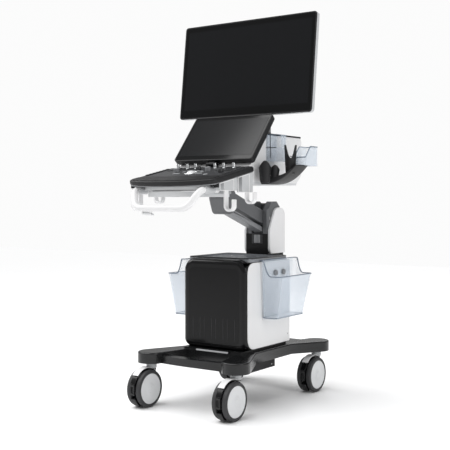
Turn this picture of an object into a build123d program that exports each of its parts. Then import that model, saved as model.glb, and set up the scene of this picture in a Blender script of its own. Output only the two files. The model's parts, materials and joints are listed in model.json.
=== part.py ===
from build123d import *
import os
from math import cos, hypot, radians, sin, tan

# Cart-based ultrasound machine. Millimetres, +Z up. The user stands at -Y and +X is the machine's side
# with the probe rack. Dimensions below are taken from the middle of the base, on the floor, and every
# piece is shifted by FRAME_SHIFT_Y at the end, so the origin is under the middle of the whole machine.

# Base and casters
STEM_X = 196
STEM_Y = 295
BASE_BOTTOM = 163
BASE_TOP = 205
PAD_RADIUS = 52
WHEEL_RADIUS = 70
WHEEL_INNER = 12
WHEEL_OUTER = 31
CASTER_TRAIL = 40
STEM_RADIUS = 10
FIT = 0.05

# Cabinet
CABINET_HALF = 148
CABINET_FRONT = -160
CABINET_REAR = 163
CABINET_BOTTOM = 212
CABINET_TOP = 546
TRAY_TOP = 560
SIDE_PANEL = 4
WALL = 3

# Baskets
BASKET_FLOOR = 327
BASKET_RIM = 490
BASKET_BACK = 550
BASKET_GAP = 1.5
BASKET_SHIFTS = {"left": -83, "right": 0}

# Column and lift arm
COLUMN_HALF = 54
COLUMN_FRONT = 148
COLUMN_REAR = 266
COLUMN_TOP = 644
YOKE_TOP = 777
ARM_REAR_Y = 165
ARM_REAR_Z = 708
ARM_FRONT_Y = -100
ARM_ANGLE = 19
ARM_SPACING = 50
ARM_FRONT_Z = ARM_REAR_Z + (ARM_REAR_Y - ARM_FRONT_Y) * tan(radians(ARM_ANGLE))
UPPER_HALF = 27
LOWER_HALF = 9
UPPER_PIN = 8
LOWER_PIN = 6
OPEN_PIVOT_GAP = 0.5
BRACKET_TOP = 841

# Console
SHELL_FLOOR = 818.5
DECK_FLOOR = 842
DECK_TOP = 850
PANEL_HALF = 198
PANEL_FRONT = -460
PANEL_REAR = -172
PANEL_REF_Y = -410
PANEL_REF_Z = 840
PANEL_SLOPE = 11.6
PANEL_THICK = 20
HOUSING_HALF = 165
HOUSING_REAR = 225
HOUSING_TOP = 1034
LID_TOP = 1040
DRAWER_HALF = 112
DRAWER_TRAVEL = 150
HANDLE_TUBE = 12.5
HANDLE_BAR_Y = -484
HANDLE_BAR_Z = 753
LEVER_X = -60
LEVER_PIVOT_Z = 735

# Touch screen
TOUCH_WIDTH = 367
TOUCH_HEIGHT = 237
TOUCH_THICK = 26
TOUCH_RECLINE = 40.1
TOUCH_EDGE_Y = -173.5
TOUCH_EDGE_Z = 935
TOUCH_HINGE_Y = -170
TOUCH_HINGE_Z = 919

# Monitor arm and monitor
POST_Y = 185
POST_RADIUS = 37
KNUCKLE_Z = 1166
WING_PIVOT_X = 40
ELBOW_X = 215
ELBOW_Z = 1248
WING_FRONT = 168
WING_REAR = 204
LINK_FRONT = 140
LINK_REAR = 158
LINK_BOTTOM = 1230
LINK_TOP = 1268
PAN_Y = 149
MONITOR_WIDTH = 636
MONITOR_HEIGHT = 396
MONITOR_Y = 62
MONITOR_Z = 1318
MONITOR_RECLINE = 6.5
MONITOR_THICK = 20
MONITOR_BULGE = 30
TILT_Y = 103
TILT_Z = 1250

FRAME_SHIFT_Y = 74.75
SIDES = {"left": -1, "right": 1}
CORNERS = {"fl": (-1, -1), "fr": (1, -1), "rl": (-1, 1), "rr": (1, 1)}


# Shapes used all over

def block(x0, x1, y0, y1, z0, z1):
    return Pos((x0 + x1) / 2, (y0 + y1) / 2, (z0 + z1) / 2) * Box(x1 - x0, y1 - y0, z1 - z0)


def rod_x(radius, x0, x1, y, z):
    return Pos((x0 + x1) / 2, y, z) * Rot(0, 90, 0) * Cylinder(radius, x1 - x0)


def rod_y(radius, y0, y1, x, z):
    return Pos(x, (y0 + y1) / 2, z) * Rot(90, 0, 0) * Cylinder(radius, y1 - y0)


def rod_z(radius, z0, z1, x, y):
    return Pos(x, y, (z0 + z1) / 2) * Cylinder(radius, z1 - z0)


def slab_x(outline, x0, x1):
    """An outline drawn in Y and Z, from x0 to x1."""
    return extrude(Plane(origin=(x0, 0, 0), x_dir=(0, 1, 0), z_dir=(1, 0, 0)) * outline, amount=x1 - x0)


def slab_y(outline, y0, y1):
    """An outline drawn in X and Z, from y0 to y1."""
    return extrude(Plane(origin=(0, y1, 0), x_dir=(1, 0, 0), z_dir=(0, -1, 0)) * outline, amount=y1 - y0)


def slab_z(outline, z0, z1):
    """An outline drawn in X and Y, from z0 to z1."""
    return extrude(Plane.XY.offset(z0) * outline, amount=z1 - z0)


def rounded(a0, a1, b0, b1, radius):
    return Pos((a0 + a1) / 2, (b0 + b1) / 2) * RectangleRounded(a1 - a0, b1 - b0, radius)


def polygon(*points):
    return make_face(Polyline(*points, close=True))


def disc(radius, a, b):
    return Pos(a, b) * Circle(radius)


def hull_of(*discs):
    return make_hull(ShapeList(edge for round_end in discs for edge in round_end.edges()))


def both_sides(piece):
    return piece + mirror(piece, about=Plane.YZ)


# Base and casters

def base_frame():
    rail_x, rail_width = 129, 68
    front_bar_depth, front_bar_top = 36, 192
    pads = Sketch()
    for side in SIDES.values():
        pads += hull_of(disc(PAD_RADIUS, side * STEM_X, -STEM_Y), disc(34, side * rail_x, -120))
        pads += hull_of(disc(PAD_RADIUS, side * STEM_X, STEM_Y), disc(34, side * rail_x, 160))
        pads += Pos(side * rail_x, 20) * Rectangle(rail_width, 300)
    rear_beam = rounded(-150, 150, 140, 275, 16)
    frame = slab_z(pads + rear_beam, BASE_BOTTOM, BASE_TOP)
    frame = fillet(frame.edges().group_by(Axis.Z)[-1], 6)
    outer = ThreePointArc((-170, -295), (0, -309), (170, -295))
    inner = ThreePointArc((170, -295 + front_bar_depth), (0, -309 + front_bar_depth),
                          (-170, -295 + front_bar_depth))
    bar_outline = make_face([outer, Line(outer @ 1, inner @ 0), inner, Line(inner @ 1, outer @ 0)])
    frame += slab_z(bar_outline, BASE_BOTTOM, front_bar_top)
    frame += slab_z(rounded(-150, 150, -186, 165, 14), BASE_TOP - 12, BASE_TOP)
    frame += slab_z(rounded(-150, 150, -186, -140, 14), BASE_BOTTOM, BASE_TOP)
    frame += slab_z(rounded(-138, 138, -176, 158, 14), BASE_TOP, CABINET_BOTTOM)
    for sx, sy in CORNERS.values():
        frame -= rod_z(STEM_RADIUS + FIT, 100, 200, sx * STEM_X, sy * STEM_Y)
    return frame


def base_underbox():
    box = block(-140, 140, -158, 66, 127, BASE_BOTTOM)
    return fillet(box.edges().filter_by(Axis.Z), 8)


def caster_stems():
    stems = []
    for sx, sy in CORNERS.values():
        stem = rod_z(STEM_RADIUS, 139, 200, sx * STEM_X, sy * STEM_Y)
        stems.append(stem + rod_z(17, 158, BASE_BOTTOM, sx * STEM_X, sy * STEM_Y))
    return Compound(children=stems)


def at_caster(piece, corner):
    """Move a piece drawn round its axle to the caster at one corner."""
    sx, sy = CORNERS[corner]
    return Pos(sx * STEM_X, sy * STEM_Y - CASTER_TRAIL, WHEEL_RADIUS) * piece


def caster_housing(corner):
    hood_inner, hood_outer, hood_half = 72.5, 76.5, 13
    plate_half, neck_z = 9, 68
    plate = slab_x(hull_of(disc(44, 0, 0), disc(17, CASTER_TRAIL, neck_z)), -plate_half, plate_half)
    ring = disc(hood_outer, 0, 0) - disc(hood_inner, 0, 0)
    wedge = polygon((0, 0), (80, 62), (80, 120), (-90, 120))
    hood = slab_x(ring & wedge, -hood_half, hood_half)
    barrel = rod_z(17, neck_z, 87.5, 0, CASTER_TRAIL)
    nose = slab_x(hull_of(disc(30, 0, 0), disc(7, -52, 22)), -4, 4)
    housing = plate + hood + barrel + nose
    housing -= rod_z(STEM_RADIUS + FIT, neck_z - 0.5, 90, 0, CASTER_TRAIL)
    housing -= rod_x(6 + FIT, -40, 40, 0, 0)
    housing -= rod_x(2.5 + FIT, -40, 40, -52, 22)
    return at_caster(housing, corner)


def caster_wheels(corner):
    wheel = rod_x(WHEEL_RADIUS, WHEEL_INNER, WHEEL_OUTER, 0, 0)
    wheel = fillet(wheel.edges().filter_by(GeomType.CIRCLE), 6)
    wheel -= rod_x(56, WHEEL_OUTER - 3, WHEEL_OUTER + 1, 0, 0)
    wheel += rod_x(14, WHEEL_OUTER - 4, WHEEL_OUTER, 0, 0)
    wheel -= rod_x(6 + FIT, 0, 40, 0, 0)
    axle = rod_x(6, -WHEEL_OUTER, WHEEL_OUTER, 0, 0)
    pair = [wheel, mirror(wheel, about=Plane.YZ), axle]
    return Compound(children=[at_caster(piece, corner) for piece in pair])


def brake_tab(corner):
    cheek = slab_x(hull_of(disc(6, -52, 22), disc(4, -66, 12)), 4.6, 9)
    pedal = slab_x(hull_of(disc(2.5, -67, 24), disc(2.5, -67, -14)), -9, 9)
    tab = both_sides(cheek) + pedal + rod_x(2.5, -9, 9, -52, 22)
    return at_caster(tab, corner)


# Cabinet

def side_panel_outline(grow=0):
    outline = Pos(8, (CABINET_BOTTOM + CABINET_TOP) / 2 + 1) * Rectangle(308, 328)
    outline = fillet(outline.vertices().group_by(Axis.X)[0], 42)
    outline = fillet(outline.vertices().group_by(Axis.X)[-1], 8)
    if grow:
        outline = offset(outline, grow)
    return outline


def cabinet_side_panels():
    right = slab_x(side_panel_outline(), CABINET_HALF - SIDE_PANEL + 0.3, CABINET_HALF + 0.3)
    right = fillet(right.edges().group_by(Axis.X)[-1], 1.5)
    return Compound(children=[right, mirror(right, about=Plane.YZ)])


def front_outline(inset=0):
    half = CABINET_HALF - inset
    outline = Pos(0, (CABINET_BOTTOM + 556) / 2) * Rectangle(2 * half, 556 - CABINET_BOTTOM - 2 * inset)
    outline = fillet(outline.vertices().group_by(Axis.Y)[-1], 48 - inset)
    return fillet(outline.vertices().group_by(Axis.Y)[0], 30 - inset)


def port_windows(grow=0):
    windows = Sketch()
    for x in (-81, -27, 27, 81):
        windows += rounded(x - 15 - grow, x + 15 + grow, 250 - grow, 330 + grow, 6)
    return windows


def cabinet_front_cover():
    nose = slab_y(front_outline(), CABINET_FRONT, -128)
    nose = fillet(nose.edges().group_by(Axis.Y)[0], 20)
    body = slab_y(rounded(-143.8, 143.8, CABINET_BOTTOM, CABINET_TOP, 8), -128, -50)
    hollow = slab_y(rounded(-140.8, 140.8, CABINET_BOTTOM + WALL, CABINET_TOP - WALL, 5), -152, -49)
    cover = nose + body - hollow
    cover -= slab_y(rounded(-118, 118, 236, 522, 22), CABINET_FRONT - 1, CABINET_FRONT + 4)
    cover -= slab_y(port_windows(0.5), -157, -150)
    pocket = slab_x(side_panel_outline(0.6), CABINET_HALF - SIDE_PANEL, CABINET_HALF + 2)
    return cover - pocket - mirror(pocket, about=Plane.YZ)


def cabinet_front_panel():
    return slab_y(rounded(-117.7, 117.7, 236.3, 521.7, 21.7), CABINET_FRONT, CABINET_FRONT + 3.8)


def probe_ports():
    ports = slab_y(port_windows(), -156, -118)
    slots = Part()
    for x in (-81, -27, 27, 81):
        slots += block(x - 7, x + 7, -157, -136, 262, 318)
    return Compound(children=(ports - slots).solids())


def cabinet_chassis():
    wall = 2.5
    outer = block(-138, 138, -110, 146, 216, 541)
    inner = block(-138 + wall, 138 - wall, -111, 146 - wall, 216 + wall, 541 - wall)
    chassis = outer - inner
    chassis -= rod_y(46, 140, 150, 62, 330)
    chassis += rod_y(11, 146 - wall, 146, 62, 330)
    chassis += block(16, 108, 146 - wall, 146, 327, 333)
    return chassis - rod_y(3 + FIT, 140, 150, 62, 330)


def power_supply():
    box = block(-128, -28, 10, 132, 220, 305)
    return fillet(box.edges().filter_by(Axis.Y), 3)


def fan_rotor():
    rotor = rod_y(16, 122, 140, 62, 330)
    blade = Pos(0, 0, 28) * Rot(0, 0, 32) * Box(2.4, 18, 28)
    for turn in range(7):
        rotor += Pos(62, 131, 330) * Rot(0, turn * 360 / 7, 0) * blade
    return rotor + rod_y(3, 140, 146, 62, 330)


def cabinet_rear_cover():
    cover = slab_y(rounded(-143.8, 143.8, CABINET_BOTTOM + 2, CABINET_TOP - 0.5, 18), 150, CABINET_REAR)
    cover -= slab_y(rounded(-138, 138, 220, 538, 12), 149, 160)
    for row in range(7):
        z = 295 + row * 11
        cover -= slab_y(rounded(22, 102, z, z + 5, 2.4), 149, 170)
    cover -= slab_y(rounded(-105, -65, 240, 268, 4), 149, 170)
    return cover + slab_y(rounded(-110, -60, 235, 273, 6) - rounded(-104, -66, 241, 267, 3), 154, 160)


def cabinet_tray():
    tray = slab_z(rounded(-146, 146, -127, 146, 14), CABINET_TOP, TRAY_TOP)
    tray -= slab_z(rounded(-141, 141, -122, 141, 10), TRAY_TOP - 5, TRAY_TOP + 1)
    return tray


# Baskets, one on each side of the cabinet

def basket_form(inset):
    x0 = CABINET_HALF + BASKET_GAP + inset
    floor = Plane.XY.offset(BASKET_FLOOR + inset) * rounded(x0, 213 - inset, -52 + inset, 165 - inset, 16)
    head = Plane.XY.offset(BASKET_BACK + 2) * rounded(x0, 250 - inset, -63 + inset, 192 - inset, 16)
    return loft([floor, head])


def basket(name):
    """One basket; the left one hangs further forward than the right one."""
    shell = basket_form(0) - basket_form(WALL)
    dip = make_face([
        Line((262, BASKET_RIM), (200, BASKET_RIM)),
        ThreePointArc((200, BASKET_RIM), (176, 505), (166, BASKET_BACK)),
        Line((166, BASKET_BACK), (166, 570)),
        Line((166, 570), (262, 570)),
        Line((262, 570), (262, BASKET_RIM)),
    ])
    shell -= slab_y(dip, -90, 220)
    shell -= block(140, 170, -90, 220, BASKET_BACK, 570)
    shell = Pos(0, BASKET_SHIFTS[name], 0) * shell
    return shell if SIDES[name] > 0 else mirror(shell, about=Plane.YZ)


# Column

def column_mast():
    tube = block(-32, 32, 180, 240, BASE_TOP, COLUMN_TOP - 4)
    return tube - block(-28, 28, 184, 236, BASE_TOP - 1, COLUMN_TOP)


def column_front_cover():
    lower = block(-COLUMN_HALF, COLUMN_HALF, CABINET_REAR + 1, COLUMN_REAR, BASE_TOP, TRAY_TOP + 1)
    upper = block(-COLUMN_HALF, COLUMN_HALF, COLUMN_FRONT, COLUMN_REAR, TRAY_TOP + 1, COLUMN_TOP)
    cover = lower + upper
    cover -= block(-50, 50, CABINET_REAR + 5, COLUMN_REAR - 4, BASE_TOP - 1, COLUMN_TOP - 4)
    return cover - block(-50, 50, COLUMN_FRONT + 4, COLUMN_REAR - 4, TRAY_TOP + 5, COLUMN_TOP - 4)


def column_side_covers():
    outline = polygon((146, 563), (COLUMN_REAR, 563), (COLUMN_REAR, 752), (192, 752), (146, 660))
    outline = fillet(outline.vertices().sort_by(Axis.Y)[-2:], 34)
    outline = fillet(outline.vertices().sort_by(Axis.Y)[:2].sort_by(Axis.X)[:1], 24)
    cover = slab_x(outline, COLUMN_HALF, COLUMN_HALF + 10)
    cover = fillet(cover.edges().group_by(Axis.X)[-1], 5)
    return Compound(children=[cover, mirror(cover, about=Plane.YZ)])


def arm_yoke():
    outline = polygon((148, COLUMN_TOP), (COLUMN_REAR, COLUMN_TOP), (COLUMN_REAR, 730),
                      (214, YOKE_TOP), (176, YOKE_TOP), (148, 742))
    outline = fillet(outline.vertices().sort_by(Axis.Y)[-2:], 10)
    yoke = slab_x(outline, -COLUMN_HALF + 0.5, COLUMN_HALF - 0.5)
    yoke = chamfer(yoke.edges().filter_by(Axis.Z).group_by(Axis.Y)[0], 8)
    yoke -= block(-28, 28, 140, 222, COLUMN_TOP + 1, YOKE_TOP + 1)
    yoke -= rod_x(UPPER_PIN + FIT, -60, 60, ARM_REAR_Y, ARM_REAR_Z)
    return yoke - rod_x(LOWER_PIN + FIT, -60, 60, ARM_REAR_Y, ARM_REAR_Z - ARM_SPACING)


def arm_pivot_pins():
    upper = rod_x(UPPER_PIN, -52, 52, ARM_REAR_Y, ARM_REAR_Z)
    lower = rod_x(LOWER_PIN, -52, 52, ARM_REAR_Y, ARM_REAR_Z - ARM_SPACING)
    return Compound(children=[upper, lower])


def arm_upper_link():
    rear = disc(UPPER_HALF, ARM_REAR_Y, ARM_REAR_Z)
    front = disc(UPPER_HALF, ARM_FRONT_Y, ARM_FRONT_Z)
    link = slab_x(hull_of(rear, front), -26, 26)
    link = fillet(link.edges().group_by(Axis.X)[0] + link.edges().group_by(Axis.X)[-1], 5)
    link -= rod_x(UPPER_PIN + FIT, -60, 60, ARM_REAR_Y, ARM_REAR_Z)
    return link - rod_x(UPPER_PIN + FIT, -60, 60, ARM_FRONT_Y, ARM_FRONT_Z)


def arm_lower_link():
    rear = disc(LOWER_HALF + 2, ARM_REAR_Y, ARM_REAR_Z - ARM_SPACING)
    front = disc(LOWER_HALF + 2, ARM_FRONT_Y, ARM_FRONT_Z - ARM_SPACING)
    middle = hull_of(disc(LOWER_HALF, ARM_REAR_Y, ARM_REAR_Z - ARM_SPACING),
                     disc(LOWER_HALF, ARM_FRONT_Y, ARM_FRONT_Z - ARM_SPACING))
    link = slab_x(middle + rear + front, -22, 22)
    link -= rod_x(LOWER_PIN + FIT, -60, 60, ARM_REAR_Y, ARM_REAR_Z - ARM_SPACING)
    return link - rod_x(LOWER_PIN + OPEN_PIVOT_GAP, -60, 60, ARM_FRONT_Y, ARM_FRONT_Z - ARM_SPACING)


def arm_bracket():
    lower_z = ARM_FRONT_Z - ARM_SPACING
    outer = hull_of(disc(38, ARM_FRONT_Y, ARM_FRONT_Z - 6), disc(22, ARM_FRONT_Y, lower_z))
    bracket = slab_x(outer, -40, 40)
    bracket = fillet(bracket.edges().group_by(Axis.X)[0] + bracket.edges().group_by(Axis.X)[-1], 6)
    bracket += block(-40, 40, -132, -68, 824, BRACKET_TOP)
    slot = hull_of(disc(29, ARM_FRONT_Y, ARM_FRONT_Z), disc(14, ARM_FRONT_Y, lower_z))
    bracket -= slab_x(slot, -27.5, 27.5)
    bracket -= block(-27.5, 27.5, ARM_FRONT_Y, 0, 650, ARM_FRONT_Z + 29)
    bracket += rod_x(UPPER_PIN, -34, 34, ARM_FRONT_Y, ARM_FRONT_Z)
    bracket += rod_x(LOWER_PIN, -34, 34, ARM_FRONT_Y, lower_z)
    return bracket + rod_z(20, BRACKET_TOP, 866, 0, ARM_FRONT_Y)


# Console

def panel_plane(x=0, y=PANEL_REF_Y, height=PANEL_THICK):
    """A plane on the control panel over a point in plan, facing along the panel's normal."""
    slope = radians(PANEL_SLOPE)
    z = PANEL_REF_Z + (y - PANEL_REF_Y) * tan(slope)
    normal = Vector(0, -sin(slope), cos(slope))
    return Plane(origin=Vector(x, y, z) + normal * height, x_dir=(1, 0, 0), z_dir=normal)


def above_panel():
    """Everything higher than the underside of the control panel."""
    return panel_plane(height=0).location * Pos(0, 150, 100) * Box(800, 900, 200)


def shell_outline(inset=0):
    front = EllipticalCenterArc((0, -400), 136 - inset, 45 - inset, 180, arc_size=180)
    shoulder = Polyline((136 - inset, -400), (136 - inset, -350 + inset), (176 - inset, -350 + inset),
                        (176 - inset, -166 - inset), (-176 + inset, -166 - inset),
                        (-176 + inset, -350 + inset), (-136 + inset, -350 + inset), (-136 + inset, -400))
    return make_face([front, shoulder])


def console_shell():
    shell = slab_z(shell_outline(), SHELL_FLOOR, 930) - above_panel()
    shell -= slab_z(shell_outline(4), SHELL_FLOOR + 4, 940)
    deck = slab_z(rounded(-HOUSING_HALF, HOUSING_HALF, -166, 190, 8), DECK_FLOOR, DECK_TOP)
    boss = rod_z(32, DECK_TOP, 872, 0, ARM_FRONT_Y)
    return shell + deck + boss - rod_z(20 + FIT, 800, 866.5, 0, ARM_FRONT_Y)


KNOBS = {"gain_knob": (-90, -270), "mode_knob": (45, -253)}
BUTTONS = {"power_button": (-150, -205), "freeze_button": (92, -335)}
TRACKBALL = (0, -299)
BALL_RADIUS = 22
BALL_SINK = 12
BUTTON_RADIUS = 9
KNOB_RADIUS = 11
KNOB_STEM = 3


def console_panel():
    slope = cos(radians(PANEL_SLOPE))
    rear = (PANEL_REAR - PANEL_REF_Y) / slope
    front = (PANEL_FRONT - PANEL_REF_Y) / slope
    edge = EllipticalCenterArc((0, 0), PANEL_HALF, -front, 180, arc_size=180)
    back = Polyline((PANEL_HALF, 0), (PANEL_HALF, rear), (26, rear), (26, rear - 14), (-26, rear - 14),
                    (-26, rear), (-PANEL_HALF, rear), (-PANEL_HALF, 0))
    panel = extrude(panel_plane(height=0) * make_face([edge, back]), amount=PANEL_THICK)
    panel += block(-24, 24, -186, -170.2, 872, 906)
    for x in (-24, 13):
        ear = hull_of(disc(8, TOUCH_HINGE_Y, TOUCH_HINGE_Z), disc(6, TOUCH_HINGE_Y - 6, 900))
        panel += slab_x(ear, x, x + 11)
    panel -= rod_x(3 + FIT, -30, 30, TOUCH_HINGE_Y, TOUCH_HINGE_Z)
    for x, y in BUTTONS.values():
        panel -= panel_plane(x, y).location * Pos(0, 0, -4) * Cylinder(BUTTON_RADIUS + 0.4, 8.01)
    for x, y in KNOBS.values():
        panel -= panel_plane(x, y).location * Pos(0, 0, -5) * Cylinder(KNOB_STEM + FIT, 10.01)
    return panel - panel_plane(*TRACKBALL).location * Pos(0, 0, -BALL_SINK) * Sphere(BALL_RADIUS + 0.4)


def knob(name):
    stem = Pos(0, 0, -4.5) * Cylinder(KNOB_STEM, 9)
    grip = Pos(0, 0, 7.5) * Cylinder(KNOB_RADIUS, 14)
    grip = fillet(grip.edges().group_by(Axis.Z)[-1], 2)
    neck = Pos(0, 0, 0.25) * Cylinder(KNOB_STEM, 0.5)
    return panel_plane(*KNOBS[name]).location * (grip + neck + stem)


def button(name):
    cap = Pos(0, 0, -1) * Cylinder(BUTTON_RADIUS, 7)
    cap = fillet(cap.edges().group_by(Axis.Z)[-1], 1.5)
    return panel_plane(*BUTTONS[name]).location * cap


def trackball():
    return panel_plane(*TRACKBALL).location * Pos(0, 0, -BALL_SINK) * Sphere(BALL_RADIUS)


def keyboard_drawer():
    front = EllipticalCenterArc((0, -410), DRAWER_HALF, 36, 180, arc_size=180)
    back = Polyline((DRAWER_HALF, -410), (DRAWER_HALF, -215), (-DRAWER_HALF, -215), (-DRAWER_HALF, -410))
    drawer = slab_z(make_face([front, back]), 794, 814)
    return drawer - block(-98, 98, -400, -235, 808, 820)


def console_handle():
    arm_x, arm_z, arm_end, corner_x = 152, 820, -350, 117
    path = FilletPolyline((arm_x, arm_end, arm_z), (arm_x, -447, arm_z), (corner_x, HANDLE_BAR_Y, HANDLE_BAR_Z),
                          (-corner_x, HANDLE_BAR_Y, HANDLE_BAR_Z), (-arm_x, -447, arm_z),
                          (-arm_x, arm_end, arm_z), radius=26)
    section = Plane(origin=path @ 0, z_dir=path % 0) * Circle(HANDLE_TUBE)
    handle = sweep(section, path=path)
    for x in (LEVER_X - 20, LEVER_X + 16):
        handle += slab_x(hull_of(disc(8, HANDLE_BAR_Y, HANDLE_BAR_Z), disc(5, HANDLE_BAR_Y, LEVER_PIVOT_Z)), x, x + 4)
    return handle - rod_x(2 + FIT, LEVER_X - 22, LEVER_X + 22, HANDLE_BAR_Y, LEVER_PIVOT_Z)


def handle_lever():
    lever = slab_x(hull_of(disc(4.5, HANDLE_BAR_Y, LEVER_PIVOT_Z), disc(3, HANDLE_BAR_Y + 18, LEVER_PIVOT_Z - 4)),
                   LEVER_X - 15.5, LEVER_X + 15.5)
    return lever + rod_x(2, LEVER_X - 20, LEVER_X + 20, HANDLE_BAR_Y, LEVER_PIVOT_Z)


def probe_holders():
    web = block(176, 182, -400, -190, 822, 930)
    front_plate = block(176, 200, -375, -291, 817, 930)
    rear_plate = block(176, 200, -261, -190, 811, 930)
    right = web + front_plate + rear_plate - above_panel()
    return Compound(children=[right, mirror(right, about=Plane.YZ)])


def cable_hooks():
    x, lip = 214, 20
    hooks = []
    for y, centre, top in ((-358, 762, 817), (-225, 788, 811)):
        ring = disc(20, x, centre) - disc(14, x, centre)
        curl = ring & polygon((x - 24, centre), (x + 24, centre), (x + 24, centre - 30), (x - 24, centre - 30))
        curl += polygon((x + 14, centre), (x + 20, centre), (x + 20, centre + lip), (x + 14, centre + lip))
        curl += disc(3, x + 17, centre + lip)
        strap = polygon((x - 20, centre), (x - 14, centre), (x - 14, top), (x - 20, top))
        hook = slab_y(curl + strap, y - 11, y + 11)
        hooks += [hook, mirror(hook, about=Plane.YZ)]
    return Compound(children=hooks)


def rear_housing():
    outline = polygon((-166, DECK_TOP), (-166, 905), (-26, HOUSING_TOP), (HOUSING_REAR, HOUSING_TOP),
                      (HOUSING_REAR, 885), (190, DECK_TOP))
    housing = slab_x(outline, -HOUSING_HALF, HOUSING_HALF)
    housing = fillet(housing.edges().filter_by(Axis.X).group_by(Axis.Y)[-1], 14)
    inner = polygon((-162, DECK_TOP - 1), (-162, 903), (-24, HOUSING_TOP - 4), (HOUSING_REAR - 4, HOUSING_TOP - 4),
                    (HOUSING_REAR - 4, 887), (188, DECK_TOP - 1))
    housing -= slab_x(inner, -HOUSING_HALF + 4, HOUSING_HALF - 4)
    return housing - rod_z(15 + FIT, 1000, 1050, 0, POST_Y)


def housing_lid():
    lid = slab_z(rounded(-HOUSING_HALF - 3, HOUSING_HALF + 3, -28, HOUSING_REAR + 2, 16), HOUSING_TOP, LID_TOP)
    return lid - rod_z(15 + FIT, 1000, 1050, 0, POST_Y)


def clear_bins():
    near = block(HOUSING_HALF + 0.5, 210, -45, 32, 930, LID_TOP - 6.5)
    near -= block(HOUSING_HALF + 3, 207.5, -42.5, 29.5, 932.5, 1050)
    near -= block(182, 220, -60, -6, 984, 1050)
    far = block(262, 312, 4, 96, 913, 988)
    far -= block(264.5, 309.5, 6.5, 93.5, 915.5, 1000)
    slant = slab_x(polygon((-2, 940), (40, 989), (-2, 989)), 255, 320)
    return Compound(children=[near, far - slant])


def probe_rack():
    arc_outer = ThreePointArc((166, 843), (250, 858), (304, 911))
    arc_inner = ThreePointArc((304, 912.5), (238, 872), (166, 872))
    outline = make_face([arc_outer, Line(arc_outer @ 1, arc_inner @ 0), arc_inner, Line(arc_inner @ 1, arc_outer @ 0)])
    rack = slab_y(outline, -84, 40)
    cups = ((203, -112, 24, 17, 846, 930), (214, -60, 19, 13, 862, 916), (262, -24, 24, 16, 880, 992))
    for x, y, outer, inner, z0, z1 in cups:
        rack += rod_z(outer, z0, z1, x, y)
        rack -= rod_z(inner, z0 + 12, z1 + 5, x, y)
    rack += block(166, 200, -118, -80, 846, 868)
    return rack - block(262, 300, -29, -19, 925, 1000) - rod_z(17, 858, 940, 203, -112)


# Touch screen

def touch_plane(depth=0):
    """The plane of the touch screen's glass, with its origin at the middle of the lower edge."""
    lean = radians(TOUCH_RECLINE)
    normal = Vector(0, -cos(lean), sin(lean))
    return Plane(origin=Vector(0, TOUCH_EDGE_Y, TOUCH_EDGE_Z) + normal * depth, x_dir=(1, 0, 0), z_dir=normal)


def touch_shell():
    outline = Pos(0, TOUCH_HEIGHT / 2) * RectangleRounded(TOUCH_WIDTH, TOUCH_HEIGHT, 12)
    recess = Pos(0, TOUCH_HEIGHT / 2) * RectangleRounded(TOUCH_WIDTH - 6, TOUCH_HEIGHT - 6, 9)
    shell = extrude(touch_plane(-TOUCH_THICK) * outline, amount=TOUCH_THICK)
    shell = fillet(shell.edges().sort_by(Axis(touch_plane().origin, touch_plane().z_dir))[:8], 7)
    shell -= extrude(touch_plane(-3) * recess, amount=5)
    knuckle = hull_of(disc(8, TOUCH_HINGE_Y, TOUCH_HINGE_Z), disc(6, -161, 931))
    shell += slab_x(knuckle, -12.5, 12.5)
    return shell + rod_x(3, -24, 24, TOUCH_HINGE_Y, TOUCH_HINGE_Z)


def touch_glass():
    pane = Pos(0, TOUCH_HEIGHT / 2) * RectangleRounded(TOUCH_WIDTH - 6.4, TOUCH_HEIGHT - 6.4, 8.8)
    return extrude(touch_plane(-3) * pane, amount=3)


# Monitor arm and monitor

def monitor_post():
    post = rod_z(15, 1000, LID_TOP + 0.5, 0, POST_Y) + rod_z(POST_RADIUS, LID_TOP + 0.5, 1112, 0, POST_Y)
    post = fillet(post.edges().group_by(Axis.Z)[-1], 10)
    post += rod_z(23, 1112, 1146, 0, POST_Y) + rod_z(15, 1146, 1186, 0, POST_Y)
    for y in (158, 207):
        post += slab_y(rounded(-60, 60, 1145, 1187, 19), y, y + 7)
    for side in SIDES.values():
        post += rod_y(8, 160, 212, side * WING_PIVOT_X, KNUCKLE_Z)
    return post


def wing(side):
    length = hypot(ELBOW_X - WING_PIVOT_X, ELBOW_Z - KNUCKLE_Z)
    along = Vector(ELBOW_X - WING_PIVOT_X, ELBOW_Z - KNUCKLE_Z) / length
    across = Vector(along.Y, -along.X)

    def point(distance, drop):
        spot = Vector(WING_PIVOT_X, KNUCKLE_Z) + along * distance + across * drop
        return spot.X, spot.Y

    beam = hull_of(disc(20, *point(0, 0)), disc(16, *point(length, 0)))
    arm = slab_y(beam, WING_FRONT, WING_REAR)
    arm = fillet(arm.edges().group_by(Axis.Y)[0] + arm.edges().group_by(Axis.Y)[-1], 5)
    arm += slab_y(hull_of(disc(5, *point(28, 29)), disc(5, *point(length - 22, 29))), 181, 191)
    for distance in (34, length - 30):
        arm += slab_y(hull_of(disc(5, *point(distance, 10)), disc(7, *point(distance, 29))), 178, 194)
    arm -= rod_y(8 + FIT, 150, 220, WING_PIVOT_X, KNUCKLE_Z)
    arm -= rod_y(8 + FIT, 150, 220, ELBOW_X, ELBOW_Z)
    return arm if side > 0 else mirror(arm, about=Plane.YZ)


def elbow():
    """The right elbow: a block in front of the wing's end, its pin and the cap behind."""
    head = slab_y(rounded(192, 240, 1225, 1271, 12), 132, 166)
    return head + rod_y(8, 166, 210, ELBOW_X, ELBOW_Z) + rod_y(18, 206, 216, ELBOW_X, ELBOW_Z)


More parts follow.
